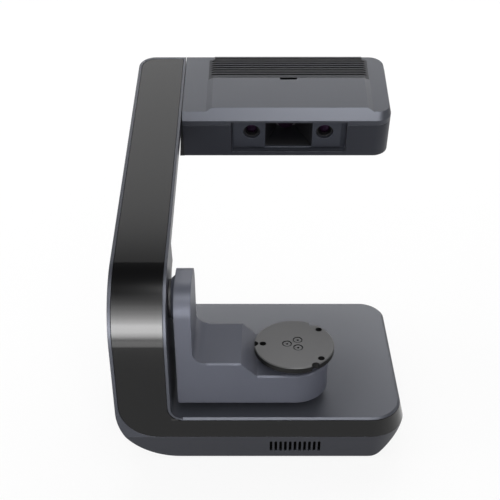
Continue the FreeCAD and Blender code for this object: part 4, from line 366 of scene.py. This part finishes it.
# %% Finishes of the small parts
dark_plastic = moulded("dark_plastic", (0.006, 0.006, 0.008), 0.5, specular=0.25)
# Near black with almost no gloss: the screens stand in for the shade inside the openings.
shade_screen_black = moulded("shade_screen_black", (0.003, 0.003, 0.003), 0.9, specular=0.02, edge=0)
ring_black = moulded("ring_black", (0.003, 0.003, 0.0035), 0.3, depth=0.000002, specular=0.06, edge=0.0001)
foot_rubber = moulded("foot_rubber", (0.015, 0.015, 0.015), 0.8)
board_green = moulded("board_green", (0.02, 0.12, 0.05), 0.4, edge=0)
belt_rubber = moulded("belt_rubber", (0.02, 0.02, 0.02), 0.7, edge=0)
print("plastics in all:", len(bpy.data.materials) - 1)

# %% [markdown]
# Metals take their look from the shader's Metallic input. Turned and cast parts differ in roughness, and both
# have a little noise in it, so that a highlight breaks up as on a real surface. The lenses could be clear glass,
# but nothing behind them has to show, so a smooth, nearly black surface with a violet tint stands for the coated
# glass.

# %% Finishes of metal and glass
def metal(name, colour, roughness, depth=0.00001):
    """A bare or blackened metal with a broken highlight."""
    finish = moulded(name, colour, roughness, grain=0.0004, depth=depth, cloud=0.1)
    finish.node_tree.nodes["Principled BSDF"].inputs["Metallic"].default_value = 1.0
    return finish


bare_steel = metal("bare_steel", (0.55, 0.55, 0.56), 0.3)
plain_aluminium = metal("plain_aluminium", (0.72, 0.73, 0.74), 0.35)
cast_aluminium = metal("cast_aluminium", (0.58, 0.59, 0.6), 0.5, depth=0.00004)
black_steel = metal("black_steel", (0.05, 0.05, 0.052), 0.35)
motor_black = metal("motor_black", (0.08, 0.08, 0.085), 0.4)

lens_glass = bpy.data.materials.new("lens_glass")
lens_glass.use_nodes = True
glass = lens_glass.node_tree.nodes["Principled BSDF"]
glass.inputs["Base Color"].default_value = (0.010, 0.004, 0.011, 1)
glass.inputs["Roughness"].default_value = 0.12
glass.inputs["Specular IOR Level"].default_value = 0.2
glass.inputs["Specular Tint"].default_value = (0.7, 0.4, 0.8, 1)
print("finishes in all:", len(bpy.data.materials) - 1)

# %% [markdown]
# The measured model already names a finish slot for each node. A short table carries those names over to the
# finishes above, and every node's material is swapped in place, which leaves its mesh alone. Four nodes share a
# slot with a neighbour that looks different, so they get their finish by their own name. For the lower cases and
# the slats, the difference is a painted shade.

# %% Dress the measured nodes
FINISHES = {m.name: m for m in (shell_grey, cradle_grey, dark_plastic, window_grey, piano_black, foot_rubber,
                                disc_black, board_green, belt_rubber, bare_steel, plain_aluminium,
                                cast_aluminium, black_steel, motor_black, lens_glass)}
BY_NODE = {"base_tub": shaded_lower_grey, "head_lower_case": shaded_lower_grey, "vent_cover": shaded_slat_grey,
           "projector_engine": motor_black}
for name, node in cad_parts.items():
    for place, slot in zip(node.material_slots, SLOTS[name]):
        place.material = BY_NODE.get(name, FINISHES[slot])
print("slots in use:", sorted({slot for slots in SLOTS.values() for slot in slots}))

# %% [markdown]
# Turned parts, such as screws, rings and feet, are one profile swept round an axis. The lathe below takes the
# profile as radius and height. A radius may also be a function of the angle, which gives the hexagon of a key
# socket without changing the mesh's pattern. A ring's profile ends where it began, so its two last rows are
# merged. Edges that are sharper than one angle stay crisp, and the rest is shaded smooth.

# %% A lathe
CRISP = math.radians(32)


def lathe(name, profile, segments=48):
    """A closed mesh swept round Z from (radius, height) pairs in millimetres."""
    mesh = bmesh.new()
    rows = []
    for radius, z in profile:
        if radius == 0:
            rows.append([mesh.verts.new((0, 0, z * MM))])
            continue
        row = []
        for step in range(segments):
            angle = 2 * math.pi * step / segments
            reach = (radius(angle) if callable(radius) else radius) * MM
            row.append(mesh.verts.new((reach * math.cos(angle), reach * math.sin(angle), z * MM)))
        rows.append(row)
    for low, high in zip(rows, rows[1:]):
        for step in range(segments):
            ahead = (step + 1) % segments
            ring = [low[step % len(low)], low[ahead % len(low)], high[ahead % len(high)], high[step % len(high)]]
            mesh.faces.new(list(dict.fromkeys(ring)))
    bmesh.ops.remove_doubles(mesh, verts=mesh.verts, dist=1e-7)
    bmesh.ops.recalc_face_normals(mesh, faces=mesh.faces)
    data = bpy.data.meshes.new(name)
    mesh.to_mesh(data)
    mesh.free()
    data.shade_smooth()
    data.set_sharp_from_angle(angle=CRISP)
    return bpy.data.objects.new(name, data)


def hexagon(across):
    """The radius of a hexagon at an angle, from its width across the flats."""
    return lambda angle: across / 2 / math.cos((angle + math.pi / 6) % (math.pi / 3) - math.pi / 6)


# %% [markdown]
# Screws, rings and feet repeat, so they are set by one node tree. It puts a unit on every point of a mesh, turns
# each one by a random angle from a fixed seed, as a screwdriver leaves them, makes the copies real and gives
# them their finish. The two helpers open and close such a tree, because the black screens need another one.

# %% A tree that sets units on points
def new_tree(name, inputs):
    """A geometry tree and its inputs, which are given as (name, socket type)."""
    tree = bpy.data.node_groups.new(name, "GeometryNodeTree")
    tree.interface.new_socket("Geometry", in_out="OUTPUT", socket_type="NodeSocketGeometry")
    tree.interface.new_socket("Geometry", in_out="INPUT", socket_type="NodeSocketGeometry")
    for label, kind in inputs:
        tree.interface.new_socket(label, in_out="INPUT", socket_type=kind)
    return tree, tree.nodes.new("NodeGroupInput").outputs


def end_tree(tree, made, finish):
    """Realize the copies, give them their finish and hand them out."""
    real = add(tree, "GeometryNodeRealizeInstances", ("Geometry", made))
    dressed = add(tree, "GeometryNodeSetMaterial", ("Geometry", real.outputs["Geometry"]), ("Material", finish))
    add(tree, "NodeGroupOutput", ("Geometry", dressed.outputs["Geometry"]))


setter, given = new_tree("units_on_points", [
    ("Unit", "NodeSocketObject"), ("Facing", "NodeSocketVector"), ("Most turn", "NodeSocketFloat"),
    ("Seed", "NodeSocketInt"), ("Finish", "NodeSocketMaterial")])
unit = add(setter, "GeometryNodeObjectInfo", ("Object", given["Unit"]), As_Instance=True)
copies = add(setter, "GeometryNodeInstanceOnPoints", ("Points", given["Geometry"]),
             ("Instance", unit.outputs["Geometry"]), ("Rotation", given["Facing"]))
chance = add(setter, "FunctionNodeRandomValue", ("Seed", given["Seed"]))
setter.links.new(given["Most turn"], chance.inputs[3])
spin = add(setter, "ShaderNodeCombineXYZ", ("Z", chance.outputs[1]))
turned = add(setter, "GeometryNodeRotateInstances", ("Instances", copies.outputs["Instances"]),
             ("Rotation", spin.outputs["Vector"]), Local_Space=True)
end_tree(setter, turned.outputs["Instances"], given["Finish"])
print("tree inputs:", [item.name for item in setter.interface.items_tree if item.in_out == "INPUT"])

# %% [markdown]
# A tree needs a mesh to work on, and the piece it makes has to stand alone. So the next helper gives the tree a
# carrier with the points, sets its inputs, keeps what it makes as a plain mesh and throws the carrier away. The
# other helper gives the turn that points a unit's own Z axis the right way.

# %% Run a tree and keep the mesh
def grown(name, tree, points, values):
    """Run a tree on a mesh of points and keep the result as a plain mesh in one object."""
    seed_mesh = bpy.data.meshes.new(name + "_points")
    seed_mesh.from_pydata([tuple(point) for point in points], [], [])
    carrier = bpy.data.objects.new(name + "_carrier", seed_mesh)
    bpy.context.scene.collection.objects.link(carrier)
    modifier = carrier.modifiers.new("grow", "NODES")
    modifier.node_group = tree
    for item in tree.interface.items_tree:
        if item.in_out == "INPUT" and item.name in values:
            modifier[item.identifier] = values[item.name]
    bpy.context.view_layer.update()
    made = bpy.data.meshes.new_from_object(carrier.evaluated_get(bpy.context.evaluated_depsgraph_get()))
    carrier.modifiers.clear()
    bpy.data.objects.remove(carrier)
    made.name = name
    piece = bpy.data.objects.new(name, made)
    bpy.context.scene.collection.objects.link(piece)
    return piece


def aimed(way):
    """The turn that points a unit's Z axis a given way."""
    return tuple(Vector((0, 0, 1)).rotation_difference(way).to_euler())


# %% [markdown]
# Each screw of the measured model is a plain pan head. The real ones are socket screws: a turned head with an
# eased rim, a countersunk mouth and a hexagonal socket. The places are read from the measured screws, so every
# new screw stands exactly where the old one stood. One node holds several screws, so its mesh is walked from
# vertex to vertex, and each island is one screw. The walk starts from the vertices in their own order, so the
# screws come in the same order, and get the same turns, in every run.

# %% Where the screws stand
def islands(body):
    """The separate pieces of a merged mesh, each as a set of vertices, in the order of the mesh's vertices."""
    left, found = set(body.verts), []
    for start in body.verts:
        if start not in left:
            continue
        left.discard(start)
        island, edge = set(), [start]
        while edge:
            vertex = edge.pop()
            island.add(vertex)
            for link in vertex.link_edges:
                other = link.other_vert(vertex)
                if other in left:
                    left.discard(other)
                    edge.append(other)
        found.append(island)
    return found


def screw_places(node_name, out):
    """Where the heads of a node's screws end, in metres, with their head's radius and length in millimetres."""
    body = bmesh.new()
    body.from_mesh(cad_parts[node_name].data)
    bmesh.ops.remove_doubles(body, verts=body.verts, dist=1e-6)
    side = Vector((1, 0, 0))
    up = out.cross(side)
    places = []
    for island in islands(body):
        across, high, deep = [[vertex.co.dot(axis) for vertex in island] for axis in (side, up, out)]
        middle = side * (min(across) + max(across)) / 2 + up * (min(high) + max(high)) / 2
        places.append(middle + out * max(deep))
        radius, length = (max(across) - min(across)) / 2, max(deep) - min(deep)
    body.free()
    return places, radius / MM, length / MM


# %% [markdown]
# One profile serves all five kinds of screw. It starts at the tip, goes up the shank, round the head and over
# its eased rim, and ends in the socket. The three screws in the turntable lie in round seats, and only a thin
# dark ring and a small socket show from above, so their rim is wide and their socket narrow and deep.

# %% Screws with key sockets
SHANK = 1.5                     # radius in millimetres
FIRST_SEED = 7                  # any number does, as long as it stays
SCREWS = [   # node, body, way the heads look, key, head height, eased rim, socket depth, finish
    # The disc's screws share its painted lighter top and the painted shade on their sides.
    ("disc_screws", "turntable", Vector((0, 0, 1)), 1.9, 2.0, 0.75, 3.2, disc_black),
    ("base_screws", "base", Vector((0, 0, -1)), 2.4, 1.8, 0.35, 1.2, black_steel),
    ("cover_screws", "cradle", Vector((0, 0, -1)), 2.4, 1.8, 0.35, 1.2, black_steel),
    ("head_screws", "base", DOWN, 2.4, 1.8, 0.35, 1.2, black_steel),
    ("frame_screws", "base", Vector((0, 0, 1)), 2.4, 1.8, 0.35, 1.2, black_steel)]


def socket_screw(name, radius, length, key, head, ease, deep):
    """One turned screw in millimetres, with the top of its head at the origin."""
    return lathe(name, [
        (0, -length + 0.02), (SHANK - 0.4, -length + 0.02), (SHANK, -length + 0.5), (SHANK, -head),
        (radius - 0.15, -head), (radius, -head + 0.15), (radius, -ease * 1.6), (radius - ease * 0.5, -ease * 0.7),
        (radius - ease, -0.01), (key / 2 + 0.35, -0.01), (key / 2 + 0.12, -0.22), (hexagon(key), -0.35),
        (hexagon(key), -deep), (0, -deep - 0.3)])


for number, (node_name, body, out, key, head, ease, deep, finish) in enumerate(SCREWS):
    places, radius, length = screw_places(node_name, out)
    piece = grown(node_name + "_keyed", setter, places, {
        "Unit": socket_screw(node_name + "_unit", radius, length, key, head, ease, deep), "Facing": aimed(out),
        "Most turn": math.pi / 3, "Seed": FIRST_SEED + number, "Finish": finish})
    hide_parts(node_name)
    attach(piece, body)
    print(node_name, len(places), "screws, head", round(2 * radius, 2), "mm, length", round(length, 2), "mm")

# %% [markdown]
# The feet are moulded rubber buttons. Their rims are eased, and the sole is dished with one ring groove, which
# lets the rubber grip a table. A bevelled cylinder would do from the side, but the groove needs a profile. One
# unit is turned and set on the four places of the measured feet.

# %% Rubber feet
FEET = ["foot_1", "foot_2", "foot_3", "foot_4"]
soles = []
for foot in FEET:
    low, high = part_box(foot)
    soles.append(((low[0] + high[0]) / 2, (low[1] + high[1]) / 2, low[2]))
foot_unit = lathe("foot_unit", [
    (0, 0.45), (6.2, 0.45), (6.6, 0.1), (7.0, 0), (7.6, 0), (7.8, 0.35), (8.2, 0.35), (8.4, 0), (9.0, 0),
    (9.6, 0.2), (9.9, 0.7), (10.0, 1.4), (10.0, 3.0), (0, 3.0)], segments=64)
feet = grown("rubber_feet", setter, soles, {
    "Unit": foot_unit, "Facing": (0, 0, 0), "Most turn": 0.0, "Seed": 1, "Finish": foot_rubber})
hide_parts(*FEET)
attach(feet, "base")
print("feet:", len(soles), "triangles:", sum(len(p.vertices) - 2 for p in feet.data.polygons))

# %% [markdown]
# Behind the slots of the base and under the vent cover sits a woven black screen, a dark sheet that stands in for
# the shade inside, so the openings look black. A pattern on a flat sheet could stand for it, but bars with a real
# thickness hold up from close by. The second tree weaves them at one pitch in each direction.

# %% A tree that weaves a screen
weaver, given = new_tree("woven_screen", [
    ("Width", "NodeSocketFloat"), ("Height", "NodeSocketFloat"), ("Pitch", "NodeSocketFloat"),
    ("Wire", "NodeSocketFloat"), ("Finish", "NodeSocketMaterial")])


def bars(counted_over, long_side, across):
    """Bars laid side by side at the pitch: across is the axis they are counted on."""
    count = maths(weaver, "FLOOR", maths(weaver, "DIVIDE", counted_over, given["Pitch"]))
    reach = maths(weaver, "MULTIPLY", maths(weaver, "SUBTRACT", count, 1.0), given["Pitch"])
    first = add(weaver, "ShaderNodeCombineXYZ", (across, maths(weaver, "MULTIPLY", reach, -0.5)))
    step = add(weaver, "ShaderNodeCombineXYZ", (across, given["Pitch"]))
    line = add(weaver, "GeometryNodeMeshLine", ("Count", count), ("Start Location", first.outputs["Vector"]),
               ("Offset", step.outputs["Vector"]))
    other = "Y" if across == "X" else "X"
    size = add(weaver, "ShaderNodeCombineXYZ", (across, given["Wire"]), (other, long_side), ("Z", given["Wire"]))
    bar = add(weaver, "GeometryNodeMeshCube", ("Size", size.outputs["Vector"]))
    return add(weaver, "GeometryNodeInstanceOnPoints", ("Points", line.outputs["Mesh"]),
               ("Instance", bar.outputs["Mesh"])).outputs["Instances"]


woven = weaver.nodes.new("GeometryNodeJoinGeometry")
weaver.links.new(bars(given["Width"], given["Height"], "X"), woven.inputs[0])
weaver.links.new(bars(given["Height"], given["Width"], "Y"), woven.inputs[0])
end_tree(weaver, woven.outputs["Geometry"], given["Finish"])
print("tree inputs:", [item.name for item in weaver.interface.items_tree if item.in_out == "INPUT"])

# %% [markdown]
# Both screens are woven flat at the origin and then laid in their places: one leans with the base's sloping
# edge, and the other lies under the louvres along the arm. Each is cut to fill its frame and stands just behind
# the wall.

# %% Woven screens that stand in for shade
RIGHT = Vector((1, 0, 0))
SCREENS = [  # name, middle, up, and in millimetres: width, height, pitch, wire
    ("base_dust_screen", on_base(35.5, 6.2, 18.8), Vector((0, -6, 30)).normalized(), 56, 19, 0.9, 0.5),
    ("head_dust_screen", on_arm(34.05, 340, 1.6), ALONG, 165.4, 28.4, 1.1, 0.55)]
for name, middle, up, width, height, pitch, wire in SCREENS:
    screen = grown(name, weaver, [(0, 0, 0)], {
        "Width": width * MM, "Height": height * MM, "Pitch": pitch * MM, "Wire": wire * MM, "Finish": shade_screen_black})
    turn = Matrix((RIGHT, up, RIGHT.cross(up))).transposed().to_4x4()
    screen.data.transform(Matrix.Translation(middle) @ turn)
    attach(screen, "base")
    print(name, "bars:", len(screen.data.polygons) // 6)

# %% [markdown]
# Each camera lens is held by a turned ring with stepped threads on its inner face, blackened against stray
# light. A bump pattern could suggest the threads, but real steps catch the lamps as thin bright crescents, as
# in a real lens. The profile goes up the outside and comes down the steps.

# %% Retaining rings of the lenses
LENSES = (-6.8, 72)             # millimetres across the head
ring_unit = lathe("lens_ring_unit", [
    (7.3, -1.0), (7.3, 0.9), (7.15, 1.05), (6.9, 1.05), (6.85, 0.75), (6.6, 0.75), (6.55, 0.45), (6.3, 0.45),
    (6.25, 0.15), (6.0, 0.15), (5.95, -0.15), (5.7, -0.15), (5.65, -0.4), (5.65, -0.55), (7.3, -1.0)], segments=72)
rings = grown("lens_rings", setter, [on_arm(lens, 268.0, 24.7) for lens in LENSES], {
    "Unit": ring_unit, "Facing": aimed(-ALONG), "Most turn": 0.0, "Seed": 3, "Finish": ring_black})
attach(rings, "base")
print("lens rings:", len(LENSES), "vertices:", len(rings.data.vertices))
